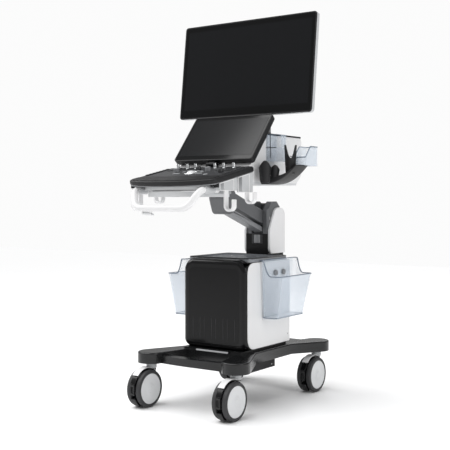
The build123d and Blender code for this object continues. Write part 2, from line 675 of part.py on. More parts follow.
def link_right():
    link = elbow() + block(-120, 200, LINK_FRONT, LINK_REAR, LINK_BOTTOM, LINK_TOP)
    link += rod_z(16, LINK_BOTTOM, LINK_TOP, 0, PAN_Y)
    link -= block(-121, -20, 144, 154, 1237, 1261)
    return link - rod_z(6 + FIT, 1200, 1300, 0, PAN_Y)


def link_left():
    stub = block(-212, -200, LINK_FRONT, LINK_REAR, LINK_BOTTOM, LINK_TOP)
    tongue = block(-205, -100, 146, 152, 1241, 1257)
    return mirror(elbow(), about=Plane.YZ) + stub + tongue


def monitor_cradle():
    cradle = block(-30, 30, 114.5, 122, 1222, 1276)
    for z in (1222, 1270):
        cradle += slab_z(hull_of(disc(12, 0, PAN_Y), disc(6, -24, 118), disc(6, 24, 118)), z, z + 6)
    for x in (-40, 31):
        cradle += slab_x(hull_of(disc(11, TILT_Y, TILT_Z), disc(9, 108, TILT_Z)), x, x + 9)
    cradle += block(-40, -29, 108, 117, 1238, 1262) + block(29, 40, 108, 117, 1238, 1262)
    cradle += rod_z(6, 1222, 1276, 0, PAN_Y)
    return cradle - rod_x(4 + FIT, -50, 50, TILT_Y, TILT_Z)


def monitor_plane(depth=0):
    """The plane of the monitor's glass, with its origin at the middle of the screen."""
    lean = radians(MONITOR_RECLINE)
    normal = Vector(0, -cos(lean), sin(lean))
    return Plane(origin=Vector(0, MONITOR_Y, MONITOR_Z) + normal * depth, x_dir=(1, 0, 0), z_dir=normal)


def monitor_shell():
    outline = RectangleRounded(MONITOR_WIDTH, MONITOR_HEIGHT, 12)
    shell = extrude(monitor_plane(-MONITOR_THICK) * outline, amount=MONITOR_THICK)
    bulge = extrude(monitor_plane(-MONITOR_BULGE) * RectangleRounded(430, 250, 40),
                    amount=MONITOR_BULGE - MONITOR_THICK + 1)
    shell += bulge
    shell -= extrude(monitor_plane(-4) * RectangleRounded(MONITOR_WIDTH - 6, MONITOR_HEIGHT - 6, 9), amount=6)
    boss = hull_of(disc(10, TILT_Y, TILT_Z), disc(12, 78, TILT_Z))
    shell += slab_x(boss, -28, 28)
    return shell + rod_x(4, -40, 40, TILT_Y, TILT_Z)


def monitor_glass():
    pane = RectangleRounded(MONITOR_WIDTH - 6.4, MONITOR_HEIGHT - 6.4, 8.8)
    return extrude(monitor_plane(-4) * pane, amount=4)


def all_parts():
    parts = {
        "base_frame": base_frame(),
        "base_underbox": base_underbox(),
        "caster_stems": caster_stems(),
        "cabinet_chassis": cabinet_chassis(),
        "cabinet_front_cover": cabinet_front_cover(),
        "cabinet_front_panel": cabinet_front_panel(),
        "probe_ports": probe_ports(),
        "cabinet_side_panels": cabinet_side_panels(),
        "cabinet_rear_cover": cabinet_rear_cover(),
        "cabinet_tray": cabinet_tray(),
        "power_supply": power_supply(),
        "fan_rotor": fan_rotor(),
        "column_mast": column_mast(),
        "column_front_cover": column_front_cover(),
        "column_side_covers": column_side_covers(),
        "arm_yoke": arm_yoke(),
        "arm_pivot_pins": arm_pivot_pins(),
        "arm_upper_link": arm_upper_link(),
        "arm_lower_link": arm_lower_link(),
        "arm_bracket": arm_bracket(),
        "console_shell": console_shell(),
        "console_panel": console_panel(),
        "trackball": trackball(),
        "keyboard_drawer": keyboard_drawer(),
        "console_handle": console_handle(),
        "handle_lever": handle_lever(),
        "probe_holders": probe_holders(),
        "cable_hooks": cable_hooks(),
        "rear_housing": rear_housing(),
        "housing_lid": housing_lid(),
        "clear_bins": clear_bins(),
        "probe_rack": probe_rack(),
        "touch_shell": touch_shell(),
        "touch_glass": touch_glass(),
        "monitor_post": monitor_post(),
        "link_right": link_right(),
        "link_left": link_left(),
        "monitor_cradle": monitor_cradle(),
        "monitor_shell": monitor_shell(),
        "monitor_glass": monitor_glass(),
    }
    for name, side in SIDES.items():
        parts[f"basket_{name}"] = basket(name)
        parts[f"wing_{name}"] = wing(side)
    for corner in CORNERS:
        parts[f"caster_housing_{corner}"] = caster_housing(corner)
        parts[f"caster_wheels_{corner}"] = caster_wheels(corner)
        parts[f"brake_tab_{corner}"] = brake_tab(corner)
    for name in KNOBS:
        parts[name] = knob(name)
    for name in BUTTONS:
        parts[name] = button(name)
    return parts


os.makedirs("parts", exist_ok=True)
for name, shape in all_parts().items():
    placed = [Pos(0, FRAME_SHIFT_Y, 0) * solid for solid in shape.solids()]
    export_step(placed[0] if len(placed) == 1 else Compound(children=placed), f"parts/{name}.step")
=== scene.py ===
import json
from math import atan2, cos, pi, radians, sin, tan

import bpy
from mathutils import Matrix, Vector


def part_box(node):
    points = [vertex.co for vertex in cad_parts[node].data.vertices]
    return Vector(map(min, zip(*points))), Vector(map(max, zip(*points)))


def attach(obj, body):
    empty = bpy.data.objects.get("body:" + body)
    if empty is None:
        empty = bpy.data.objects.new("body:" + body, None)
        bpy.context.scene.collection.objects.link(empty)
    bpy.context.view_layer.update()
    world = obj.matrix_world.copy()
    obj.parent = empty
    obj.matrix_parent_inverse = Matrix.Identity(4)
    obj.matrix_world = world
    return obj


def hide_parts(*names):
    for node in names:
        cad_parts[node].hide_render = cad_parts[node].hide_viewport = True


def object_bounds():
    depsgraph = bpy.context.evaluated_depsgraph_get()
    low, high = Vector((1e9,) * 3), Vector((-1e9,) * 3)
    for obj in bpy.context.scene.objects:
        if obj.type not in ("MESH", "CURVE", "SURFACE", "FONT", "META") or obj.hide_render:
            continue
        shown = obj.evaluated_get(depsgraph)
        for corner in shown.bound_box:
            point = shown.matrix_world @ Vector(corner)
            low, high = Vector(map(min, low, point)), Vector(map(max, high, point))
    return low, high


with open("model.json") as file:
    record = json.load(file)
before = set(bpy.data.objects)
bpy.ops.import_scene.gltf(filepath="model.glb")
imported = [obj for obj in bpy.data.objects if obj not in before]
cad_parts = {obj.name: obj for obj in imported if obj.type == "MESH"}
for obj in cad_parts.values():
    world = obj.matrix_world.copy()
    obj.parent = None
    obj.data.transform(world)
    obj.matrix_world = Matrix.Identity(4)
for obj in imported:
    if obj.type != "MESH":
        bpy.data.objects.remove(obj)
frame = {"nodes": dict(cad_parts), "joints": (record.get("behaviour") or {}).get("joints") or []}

# An ultrasound machine, in metres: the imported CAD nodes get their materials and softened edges, and the
# pieces that CAD leaves out are built on them. A table written in millimetres is scaled by MM.
cad_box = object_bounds()
MM = 0.001
EDGE_ANGLE = 38
SIDES = {"left": -1, "right": 1}
CORNERS = ("fl", "fr", "rl", "rr")


# ---------------------------------------------------------------- materials

def surface(name, color, roughness=0.4, metallic=0.0, mottle=0.06, grain=0.0, grain_scale=900.0,
            coat=0.0, wear=0.12, alpha=None, specular=0.5):
    """A moulded or painted surface: slight colour mottle, uneven gloss and a fine grain."""
    mat = bpy.data.materials.new(name)
    mat.use_nodes = True
    nodes, links = mat.node_tree.nodes, mat.node_tree.links
    shader = nodes["Principled BSDF"]
    shader.inputs["Metallic"].default_value = metallic
    shader.inputs["Coat Weight"].default_value = coat
    shader.inputs["Coat Roughness"].default_value = 0.04
    shader.inputs["Specular IOR Level"].default_value = specular
    place = nodes.new("ShaderNodeTexCoord")

    def noise(scale, detail):
        node = nodes.new("ShaderNodeTexNoise")
        node.inputs["Scale"].default_value = scale
        node.inputs["Detail"].default_value = detail
        links.new(place.outputs["Object"], node.inputs["Vector"])
        return node.outputs["Fac"]

    broad = noise(11.0, 4.0)
    ramp = nodes.new("ShaderNodeMix")
    ramp.data_type = "RGBA"
    ramp.inputs["A"].default_value = (*[c * (1 - mottle) for c in color], 1)
    ramp.inputs["B"].default_value = (*[min(1, c * (1 + mottle)) for c in color], 1)
    links.new(broad, ramp.inputs["Factor"])
    links.new(ramp.outputs["Result"], shader.inputs["Base Color"])
    gloss = nodes.new("ShaderNodeMapRange")
    gloss.inputs["To Min"].default_value = max(0.02, roughness * (1 - wear))
    gloss.inputs["To Max"].default_value = min(1, roughness * (1 + wear))
    links.new(noise(34.0, 6.0), gloss.inputs["Value"])
    links.new(gloss.outputs["Result"], shader.inputs["Roughness"])
    if grain:
        bump = nodes.new("ShaderNodeBump")
        bump.inputs["Strength"].default_value = grain
        bump.inputs["Distance"].default_value = 0.0004
        links.new(noise(grain_scale, 3.0), bump.inputs["Height"])
        links.new(bump.outputs["Normal"], shader.inputs["Normal"])
    if alpha:
        edge = nodes.new("ShaderNodeLayerWeight")
        edge.inputs["Blend"].default_value = 0.35
        fade = nodes.new("ShaderNodeMapRange")
        fade.inputs["To Min"].default_value = alpha[0]
        fade.inputs["To Max"].default_value = alpha[1]
        links.new(edge.outputs["Facing"], fade.inputs["Value"])
        links.new(fade.outputs["Result"], shader.inputs["Alpha"])
    return mat


BLACK_GLOSS = surface("black gloss", (0.004, 0.004, 0.0045), 0.20, mottle=0.1, specular=0.28)
PIANO = surface("front panel", (0.003, 0.003, 0.0035), 0.12, mottle=0.1, specular=0.22)
BASE_BLACK = surface("base black", (0.008, 0.0085, 0.009), 0.24, grain=0.05, specular=0.42)
BLACK_MATTE = surface("black matte", (0.008, 0.008, 0.009), 0.46, grain=0.25, specular=0.3)
PALM = surface("palm rest", (0.013, 0.013, 0.014), 0.44, grain=0.35, grain_scale=1400, specular=0.28)
RUBBER = surface("rubber", (0.008, 0.008, 0.009), 0.52, grain=0.3, specular=0.35)
TYRE = surface("tyre", (0.028, 0.028, 0.030), 0.6, grain=0.35, grain_scale=500)
WHITE = surface("white", (0.80, 0.80, 0.805), 0.33, mottle=0.015, grain=0.06)
LIGHT = surface("light grey", (0.52, 0.53, 0.54), 0.42, mottle=0.02, grain=0.14)
DISC = surface("wheel disc", (0.70, 0.71, 0.72), 0.38, mottle=0.02, grain=0.08)
PALE = surface("pale grey", (0.66, 0.67, 0.68), 0.38, mottle=0.02, grain=0.08)
MID = surface("mid grey", (0.24, 0.245, 0.255), 0.42, mottle=0.03, grain=0.14)
GRAPHITE = surface("graphite", (0.118, 0.121, 0.127), 0.40, metallic=0.15, grain=0.2, grain_scale=700)
DARK_GRAPHITE = surface("dark graphite", (0.030, 0.031, 0.034), 0.42, grain=0.2)
SILVER = surface("silver", (0.62, 0.63, 0.64), 0.26, metallic=0.9, mottle=0.02)
STEEL = surface("steel", (0.55, 0.55, 0.56), 0.3, metallic=1.0, mottle=0.04)
SHEET = surface("zinc sheet", (0.42, 0.43, 0.44), 0.4, metallic=0.8)
TRAY_GREY = surface("tray grey", (0.20, 0.21, 0.225), 0.22, coat=0.3, grain=0.05)
GLASS = surface("display glass", (0.0025, 0.0027, 0.0030), 0.05, mottle=0.05, wear=0.05, specular=0.25)
ACTIVE = surface("display area", (0.0060, 0.0064, 0.0074), 0.10, mottle=0.03, wear=0.05, specular=0.25)
CLEAR = surface("clear blue", (0.70, 0.775, 0.86), 0.12, alpha=(0.15, 0.62), mottle=0.02)
CLEAR_EDGE = surface("clear edge", (0.17, 0.21, 0.27), 0.15, alpha=(0.78, 1.0), mottle=0.03)
KEY_LIGHT = surface("key light", (0.33, 0.34, 0.35), 0.35, grain=0.1)
KEY_DARK = surface("key dark", (0.028, 0.029, 0.031), 0.36, grain=0.15)
DOME = surface("trackball white", (0.72, 0.73, 0.74), 0.14, coat=0.5, mottle=0.01)


# ---------------------------------------------------------------- mesh helpers

def shade(mesh):
    mesh.polygons.foreach_set("use_smooth", [True] * len(mesh.polygons))
    mesh.set_sharp_from_angle(angle=radians(EDGE_ANGLE))


def piece(name, verts, faces, mat, body, slot, bevel=0.0, replaces=(), segments=3):
    """A mesh piece that rides on a body, in the given material; its slot argument is not used."""
    mesh = bpy.data.meshes.new(name)
    mesh.from_pydata([tuple(v) for v in verts], [], faces)
    mesh.validate()
    mesh.update()
    shade(mesh)
    obj = bpy.data.objects.new(name, mesh)
    bpy.context.scene.collection.objects.link(obj)
    mesh.materials.append(mat)
    if bevel:
        edge = obj.modifiers.new("bevel", "BEVEL")
        edge.width = bevel
        edge.segments = segments
        edge.limit_method = "ANGLE"
        edge.angle_limit = radians(EDGE_ANGLE)
        edge.harden_normals = True
    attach(obj, body)
    if replaces:
        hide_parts(*replaces)
    return obj


def axes(origin, x_dir, y_dir):
    """A matrix whose x and y run along two directions and whose z is across them."""
    x = Vector(x_dir).normalized()
    y = Vector(y_dir).normalized()
    z = x.cross(y)
    spot = Matrix((x, y, z)).transposed().to_4x4()
    spot.translation = Vector(origin)
    return spot


def facing(direction, origin):
    """Axes for something seen on one face of the object: front, back, left, right, top or under."""
    dirs = {"front": ((1, 0, 0), (0, 0, 1)), "back": ((-1, 0, 0), (0, 0, 1)),
            "right": ((0, 1, 0), (0, 0, 1)), "left": ((0, -1, 0), (0, 0, 1)), "top": ((1, 0, 0), (0, 1, 0)),
            "under": ((1, 0, 0), (0, -1, 0))}
    return axes(origin, *dirs[direction])


def rounded(width, height, radius, steps=6):
    """A rounded rectangle round the origin."""
    points = []
    for turn, (sx, sy) in enumerate(((1, 1), (-1, 1), (-1, -1), (1, -1))):
        cx, cy = sx * (width / 2 - radius), sy * (height / 2 - radius)
        for i in range(steps + 1):
            angle = (turn + i / steps) * pi / 2
            points.append((cx + radius * cos(angle), cy + radius * sin(angle)))
    return points


def circle(radius, steps=40):
    return [(radius * cos(i * 2 * pi / steps), radius * sin(i * 2 * pi / steps)) for i in range(steps)]


def prism_data(outline, spot, low, high):
    """An outline in the x and y of the given axes, carried from low to high along z."""
    n = len(outline)
    verts = [spot @ Vector((x, y, z)) for z in (low, high) for x, y in outline]
    faces = [tuple(reversed(range(n))), tuple(range(n, 2 * n))]
    faces += [(i, (i + 1) % n, n + (i + 1) % n, n + i) for i in range(n)]
    return verts, faces


def merged(parts):
    """Several (verts, faces) pairs as one."""
    verts, faces = [], []
    for more_verts, more_faces in parts:
        start = len(verts)
        verts += more_verts
        faces += [tuple(start + i for i in face) for face in more_faces]
    return verts, faces


def prism(name, outline, spot, low, high, mat, body, slot, bevel=0.001, **options):
    return piece(name, *prism_data(outline, spot, low, high), mat, body, slot, bevel, **options)


def revolve_data(profile, spot, steps=64):
    """A closed profile of (distance along z, radius) turned round the z axis of the given axes."""
    n = len(profile)
    verts = []
    for i in range(steps):
        angle = i * 2 * pi / steps
        verts += [spot @ Vector((r * cos(angle), r * sin(angle), z)) for z, r in profile]
    faces = []
    for i in range(steps):
        j = (i + 1) % steps
        for k in range(n):
            m = (k + 1) % n
            faces.append((i * n + k, j * n + k, j * n + m, i * n + m))
    return verts, faces


def sweep_data(path, section, closed=False, up=(0, 0, 1)):
    """A section of (across, up) points carried along a path of points."""
    path = [Vector(p) for p in path]
    count = len(path)
    verts, n = [], len(section)
    for i, point in enumerate(path):
        before = path[i - 1] if i or closed else point
        after = path[(i + 1) % count] if i < count - 1 or closed else point
        along = (after - before).normalized()
        across = along.cross(Vector(up)).normalized()
        rise = across.cross(along).normalized()
        verts += [point + across * a + rise * b for a, b in section]
    faces = []
    for i in range(count if closed else count - 1):
        j = (i + 1) % count
        faces += [(i * n + k, i * n + (k + 1) % n, j * n + (k + 1) % n, j * n + k) for k in range(n)]
    if not closed:
        faces += [tuple(reversed(range(n))), tuple(range((count - 1) * n, count * n))]
    return verts, faces


def rounded_path(corners, radius, steps=8):
    """The corners of a path, each replaced by a smooth bend."""
    corners = [Vector(c) for c in corners]
    path = [corners[0]]
    for before, corner, after in zip(corners, corners[1:], corners[2:]):
        start = corner + (before - corner).normalized() * radius
        end = corner + (after - corner).normalized() * radius
        for i in range(steps + 1):
            t = i / steps
            path.append(start * (1 - t) ** 2 + corner * 2 * t * (1 - t) + end * t * t)
    return path + [corners[-1]]


def loft_data(rings):
    """Closed rings of the same number of points, joined into a skin with both ends capped."""
    n = len(rings[0])
    verts = [Vector(p) for ring in rings for p in ring]
    faces = []
    for r in range(len(rings) - 1):
        faces += [(r * n + i, r * n + (i + 1) % n, (r + 1) * n + (i + 1) % n, (r + 1) * n + i)
                  for i in range(n)]
    return verts, faces + [tuple(reversed(range(n))), tuple(range((len(rings) - 1) * n, len(rings) * n))]


def shifted(outline, x, y):
    return [(u + x, v + y) for u, v in outline]


def in_mm(points):
    return [(a * MM, b * MM) for a, b in points]


def joint_place(name):
    return Vector(next(joint["pos_m"] for joint in frame["joints"] if joint["name"] == name))


def middle(node):
    low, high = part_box(node)
    return (Vector(low) + Vector(high)) / 2


def dress(node, mat, bevel=0.0):
    """A carried-over CAD node gets its material and softened edges."""
    obj = frame["nodes"][node]
    obj.data.materials.clear()
    obj.data.materials.append(mat)
    if bevel:
        weld = obj.modifiers.new("weld", "WELD")
        weld.merge_threshold = 0.00002
        edge = obj.modifiers.new("bevel", "BEVEL")
        edge.width = bevel
        edge.segments = 3
        edge.limit_method = "ANGLE"
        edge.angle_limit = radians(EDGE_ANGLE)
        edge.use_clamp_overlap = True
        obj.modifiers.new("normals", "WEIGHTED_NORMAL")
    return obj


# ---------------------------------------------------------------- base and casters

def dress_base():
    dress("base_frame", BASE_BLACK, 0.003)
    dress("base_underbox", BLACK_MATTE, 0.0015)
    low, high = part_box("base_underbox")
    screws = []
    for x in (low[0] + 0.02, high[0] - 0.02):
        for y in (low[1] + 0.02, (low[1] + high[1]) / 2, high[1] - 0.02):
            screws.append(revolve_data(screw_profile(0.0045), facing("under", (x, y, low[2]))))
    for y in (low[1] + 0.03, high[1] - 0.03):
        screws.append(revolve_data(screw_profile(0.003), facing("right", (high[0], y, low[2] + 0.012))))
        screws.append(revolve_data(screw_profile(0.003), facing("left", (low[0], y, low[2] + 0.012))))
    piece("underbox_screws", *merged(screws), STEEL, "base", "steel")
    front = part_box("cabinet_front_cover")[0]
    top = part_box("base_frame")[1][2]
    lean = axes((0.010, front[1] - 0.0245, top - 0.005), (1, 0, 0), (0, 0.45, 0.55))
    prism("plinth_strip", rounded(0.150, 0.007, 0.003), lean, 0, 0.0016, MID, "base", "steel", 0.0006)


def screw_profile(radius):
    return [(-0.001, 0.0001), (-0.001, radius), (0.0006, radius), (0.0014, radius * 0.82),
            (0.0014, radius * 0.42), (0.0002, radius * 0.36), (0.0002, 0.0001)]


TYRE_PROFILE = [(12.2, 57), (12.2, 65), (14, 68.6), (18, 69.9), (25, 69.9), (29, 68.6), (31, 65.5),
                (31.2, 61), (30.6, 57)]
DISC_PROFILE = [(13.4, 8), (13.4, 56.8), (29.6, 56.8), (30.9, 55.6), (31.1, 53), (29.9, 50.5), (29.2, 47),
                (28.6, 30), (29.0, 19), (30.2, 17), (30.2, 13.5), (29.4, 12.5), (29.4, 8)]
CAP_PROFILE = [(26, 0.2), (26, 12.2), (30.4, 12.2), (31.2, 10.5), (31.4, 5), (31.5, 0.2)]


HOOD_OUTER, HOOD_INNER = 0.0795, 0.0768
GUARD_OUTER, GUARD_INNER = 0.0745, 0.0500


def caster(corner):
    """Twin wheels, a dark housing and guards between them, a light hood and the brake tab's frame."""
    low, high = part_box(f"caster_wheels_{corner}")
    axle = (Vector(low) + Vector(high)) / 2
    spots = [axes(axle, (0, 1, 0), (0, 0, 1)), axes(axle, (0, -1, 0), (0, 0, 1))]

    def turned(profile):
        return merged([revolve_data(in_mm(profile), spot, 96) for spot in spots])

    wheels = f"wheels_{corner}"
    piece(f"tyres_{corner}", *turned(TYRE_PROFILE), TYRE, wheels, "tyre",
          replaces=(f"caster_wheels_{corner}",))
    piece(f"wheel_discs_{corner}", *turned(DISC_PROFILE), DISC, wheels, "light_grey")
    piece(f"wheel_caps_{corner}", *turned(CAP_PROFILE), DISC, wheels, "light_grey")
    rod = [(-0.0130, 0.0055), (0.0130, 0.0055), (0.0130, 0.0001), (-0.0130, 0.0001)]
    piece(f"axle_{corner}", *revolve_data(rod, spots[0], 32), STEEL, wheels, "steel")

    body = f"caster_{corner}"
    dress(f"caster_housing_{corner}", BLACK_GLOSS, 0.0008)
    across = spots[0]

    def arched(outer, inner, angles, half):
        """A band round the axle, over angles counted up from straight ahead."""
        arc = [radians(a) for a in angles]
        outline = [(-outer * cos(a), outer * sin(a)) for a in arc]
        outline += [(-inner * cos(a), inner * sin(a)) for a in reversed(arc)]
        return prism_data(outline, across, -half, half)

    hood = arched(HOOD_OUTER, HOOD_INNER, range(45, 131, 5), 0.0138)
    piece(f"caster_hood_{corner}", *hood, WHITE, body, "white", 0.0011)
    guard = [arched(GUARD_OUTER, GUARD_INNER, [start + (end - start) * i / 8 for i in range(9)], 0.0112)
             for start, end in ((20, 44), (-58, -25))]
    piece(f"caster_guard_{corner}", *merged(guard), BLACK_GLOSS, body, "base_dark", 0.0014)
    spot = Vector((axle.x, axle.y + 0.040, axle.z))
    sleeve = [(0.0705, 0.0172), (0.0705, 0.0190), (0.0725, 0.0200), (0.0910, 0.0200), (0.0925, 0.0190),
              (0.0925, 0.0172)]
    piece(f"stem_sleeve_{corner}", *revolve_data(sleeve, facing("top", spot)), LIGHT, body, "light_grey")
    dress(f"brake_tab_{corner}", BLACK_MATTE, 0.0009)
    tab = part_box(f"brake_tab_{corner}")
    grip = facing("front", (axle.x, tab[0][1], tab[0][2] + 0.0195))
    outer, inner = rounded(0.0186, 0.0385, 0.003), rounded(0.0120, 0.0250, 0.0015)
    piece(f"brake_frame_{corner}", *frame_ring(outer, inner, grip, -0.0010, 0.0024), BASE_BLACK,
          f"brake_{corner}", "base_dark", 0.0006)


# ---------------------------------------------------------------- cabinet

def dress_cabinet():
    for node, mat, bevel in (("cabinet_front_cover", BLACK_GLOSS, 0),
                             ("cabinet_front_panel", PIANO, 0.0012),
                             ("probe_ports", BLACK_MATTE, 0.0006), ("cabinet_side_panels", WHITE, 0.0),
                             ("cabinet_chassis", SHEET, 0.0004), ("power_supply", SHEET, 0),
                             ("fan_rotor", BLACK_MATTE, 0), ("cabinet_rear_cover", MID, 0.001),
                             ("cabinet_tray", TRAY_GREY, 0.0012)):
        dress(node, mat, bevel)
    low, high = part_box("cabinet_tray")
    spot = facing("top", ((low[0] + high[0]) / 2, (low[1] + high[1]) / 2, high[2]))
    wide, deep = high[0] - low[0], high[1] - low[1]
    ring = [spot @ Vector((x, y, 0.0)) for x, y in rounded(wide - 0.004, deep - 0.004, 0.013)]
    lip = in_mm(((-2.4, -2), (-2.4, 0.8), (-1.2, 1.8), (1.2, 1.8), (2.4, 0.8), (2.4, -2)))
    piece("tray_rim", *sweep_data(ring, lip, closed=True), BLACK_GLOSS, "base", "black_gloss")
    mat_spot = facing("top", ((low[0] + high[0]) / 2, (low[1] + high[1]) / 2, high[2] - 0.005))
    ribs = []
    for i in range(12):
        y = (i - 5.5) * deep / 13.5
        ribs.append(prism_data(shifted(rounded(wide - 0.034, 0.003, 0.0014, 3), 0, y), mat_spot, -0.0004,
                               0.0007))
    piece("tray_ribs", *merged(ribs), TRAY_GREY, "base", "grey_clear")
    front_panel()
    side_seams()
    back_panel()


def front_panel():
    """Faint upright grooves on the tinted front panel, beside each probe socket behind it."""
    low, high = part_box("cabinet_front_panel")
    spot = facing("front", ((low[0] + high[0]) / 2, low[1], low[2]))
    grooves = []
    for x in (-81, -27, 27, 81):
        for dx in (-17, 17):
            outline = shifted(rounded(0.0012, 0.078, 0.0005, 3), (x + dx) * MM, 0.0535)
            grooves.append(prism_data(outline, spot, -0.0006, 0.0003))
    piece("front_grooves", *merged(grooves), DARK_GRAPHITE, "base", "black_gloss")


def side_seams():
    """The small screws at the rear of each side panel."""
    low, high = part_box("cabinet_side_panels")
    screws = []
    for side, x in (("left", low[0]), ("right", high[0])):
        for z in (low[2] + 0.03, high[2] - 0.03):
            screws.append(revolve_data(screw_profile(0.0035), facing(side, (x, high[1] - 0.018, z))))
    piece("side_screws", *merged(screws), STEEL, "base", "steel")


def back_panel():
    """The mains inlet with its switch, a row of sockets and the fan guard."""
    low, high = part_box("cabinet_rear_cover")
    inlet = facing("back", (-0.085, high[1] - 0.006, 0.254))
    prism("inlet_body", rounded(0.040, 0.027, 0.004), inlet, -0.004, 0.004, BLACK_MATTE, "base",
          "black_matte", 0.001)
    frame_path = [inlet @ Vector((x, y, 0.0045)) for x, y in rounded(0.034, 0.022, 0.005)]
    square = in_mm(((-1, -1), (-1, 1), (1, 1), (1, -1)))
    piece("inlet_rim", *sweep_data(frame_path, square, closed=True, up=(0, 1, 0)), BLACK_GLOSS, "base",
          "black_gloss")
    pins = [prism_data(shifted(rounded(0.002, 0.006, 0.0008, 3), x, y), inlet, 0.003, 0.0085)
            for x, y in ((-0.009, -0.002), (0, 0.003), (0.009, -0.002))]
    piece("inlet_pins", *merged(pins), STEEL, "base", "steel")
    switch = facing("back", (-0.085, high[1], 0.296))
    prism("switch_frame", rounded(0.030, 0.020, 0.003), switch, -0.002, 0.0015, BLACK_MATTE, "base",
          "black_matte", 0.0008)
    rocker = axes((-0.085, high[1] + 0.0015, 0.296), (-1, 0, 0), (0, 0.18, 1))
    prism("switch_rocker", rounded(0.022, 0.014, 0.002), rocker, -0.001, 0.0025, KEY_DARK, "base",
          "black_matte", 0.001)
    sockets = []
    for i in range(5):
        spot = facing("back", (-0.100 + i * 0.026, high[1], 0.47))
        ring = [spot @ Vector((x, y, 0)) for x, y in rounded(0.018, 0.010, 0.0018, 4)]
        sockets.append(sweep_data(ring, square, closed=True, up=(0, 1, 0)))
        sockets.append(prism_data(rounded(0.0145, 0.0045, 0.0008, 3), spot, -0.001, 0.0006))
    piece("rear_sockets", *merged(sockets), BLACK_MATTE, "base", "black_matte")
    hub = middle("fan_rotor")
    guard = []
    for radius in (0.040, 0.031, 0.022):
        ring = [Vector((hub.x + x, high[1] - 0.0085, hub.z + y)) for x, y in circle(radius, 48)]
        wire = circle(0.0008, 6)
        guard.append(sweep_data(ring, wire, closed=True, up=(0, 1, 0)))
    piece("fan_guard", *merged(guard), STEEL, "base", "steel")
    feet = []
    for x in (low[0] + 0.03, high[0] - 0.03):
        for z in (low[2] + 0.025, high[2] - 0.025):
            feet.append(revolve_data(screw_profile(0.004), facing("back", (x, high[1], z))))
    piece("rear_screws", *merged(feet), STEEL, "base", "steel")


# ---------------------------------------------------------------- baskets

FLOOR_IN, FRONT_IN, REAR_IN = 0.037, 0.011, 0.027
BASKET_CORNER = 0.016
DIP_START, DIP_END = 0.0165, 0.0505
RIM_LOW = 0.060


def basket_side(low, high, side, z):
    """How far out the basket's outer wall is at a height, and how far down that is as a share."""
    down = (high[2] - z) / (high[2] - low[2])
    outer = high[0] if side > 0 else -low[0]
    at_top = outer + FLOOR_IN / (high[2] - low[2]) * RIM_LOW
    return at_top - down * FLOOR_IN, down


def rim_height(high, inner, x):
    """The height of the basket's edge over a distance from the cabinet: high, then a dip, then low."""
    reach = x - inner
    top, bottom = high[2], high[2] - RIM_LOW
    if reach <= DIP_START:
        return top
    if reach >= DIP_END:
        return bottom
    t = (reach - DIP_START) / (DIP_END - DIP_START)
    return bottom + (top - bottom) * (1 - t) ** 2.4


def basket(name):
    """Material for the moulded basket, a lipped rim along its dipped edge, a foot band and two knobs."""
    side = SIDES[name]
    node = f"basket_{name}"
    dress(node, CLEAR, 0)
    low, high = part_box(node)
    inner = low[0] if side > 0 else -high[0]
    reach = []
    for front in (True, False):
        line = []
        x = inner
        while True:
            z = rim_height(high, inner, x)
            outer, down = basket_side(low, high, side, z)
            y = low[1] + down * FRONT_IN if front else high[1] - down * REAR_IN
            if x > outer - BASKET_CORNER:
                break
            line.append(Vector((side * x, y, z)))
            x += 0.003
        corner_y = y + BASKET_CORNER if front else y - BASKET_CORNER
        for i in range(1, 9):
            angle = i / 8 * pi / 2
            turn = -cos(angle) if front else cos(angle)
            line.append(Vector((side * (outer - BASKET_CORNER + BASKET_CORNER * sin(angle)),
                                corner_y + BASKET_CORNER * turn, z)))
        reach.append(line)
    path = reach[0] + list(reversed(reach[1]))
    lip = in_mm(((-2.2, -1.6), (-2.8, 0.4), (-1.2, 1.9), (1.2, 1.9), (2.8, 0.4), (2.2, -1.6)))
    piece(f"basket_rim_{name}", *sweep_data(path, lip, closed=True), CLEAR_EDGE, "base", "clear")
    floor = low[2] + 0.004
    base_loop = []
    outer, down = basket_side(low, high, side, floor)
    front, rear = low[1] + down * FRONT_IN, high[1] - down * REAR_IN
    centre = Vector((side * (inner + outer) / 2, (front + rear) / 2, floor))
    for x, y in rounded(outer - inner, rear - front, BASKET_CORNER):
        base_loop.append(centre + Vector((x, y, 0)))
    band = in_mm(((-1.2, -1.6), (-1.2, 1.4), (0.4, 1.4), (0.4, -1.6)))
    piece(f"basket_foot_{name}", *sweep_data(base_loop, band, closed=True), CLEAR_EDGE, "base", "clear")
    knobs = []
    for y in (0.085, 0.145):
        spot = facing("right" if side > 0 else "left",
                      (side * (inner + 0.0032), y + low[1] + 0.02, high[2] - 0.052))
        knobs.append(revolve_data([(0, 0.0002), (0, 0.011), (0.005, 0.011), (0.0075, 0.009),
                                   (0.0080, 0.0002)], spot, 36))
    piece(f"basket_knobs_{name}", *merged(knobs), MID, "base", "black_matte")


# ---------------------------------------------------------------- column and lift arm

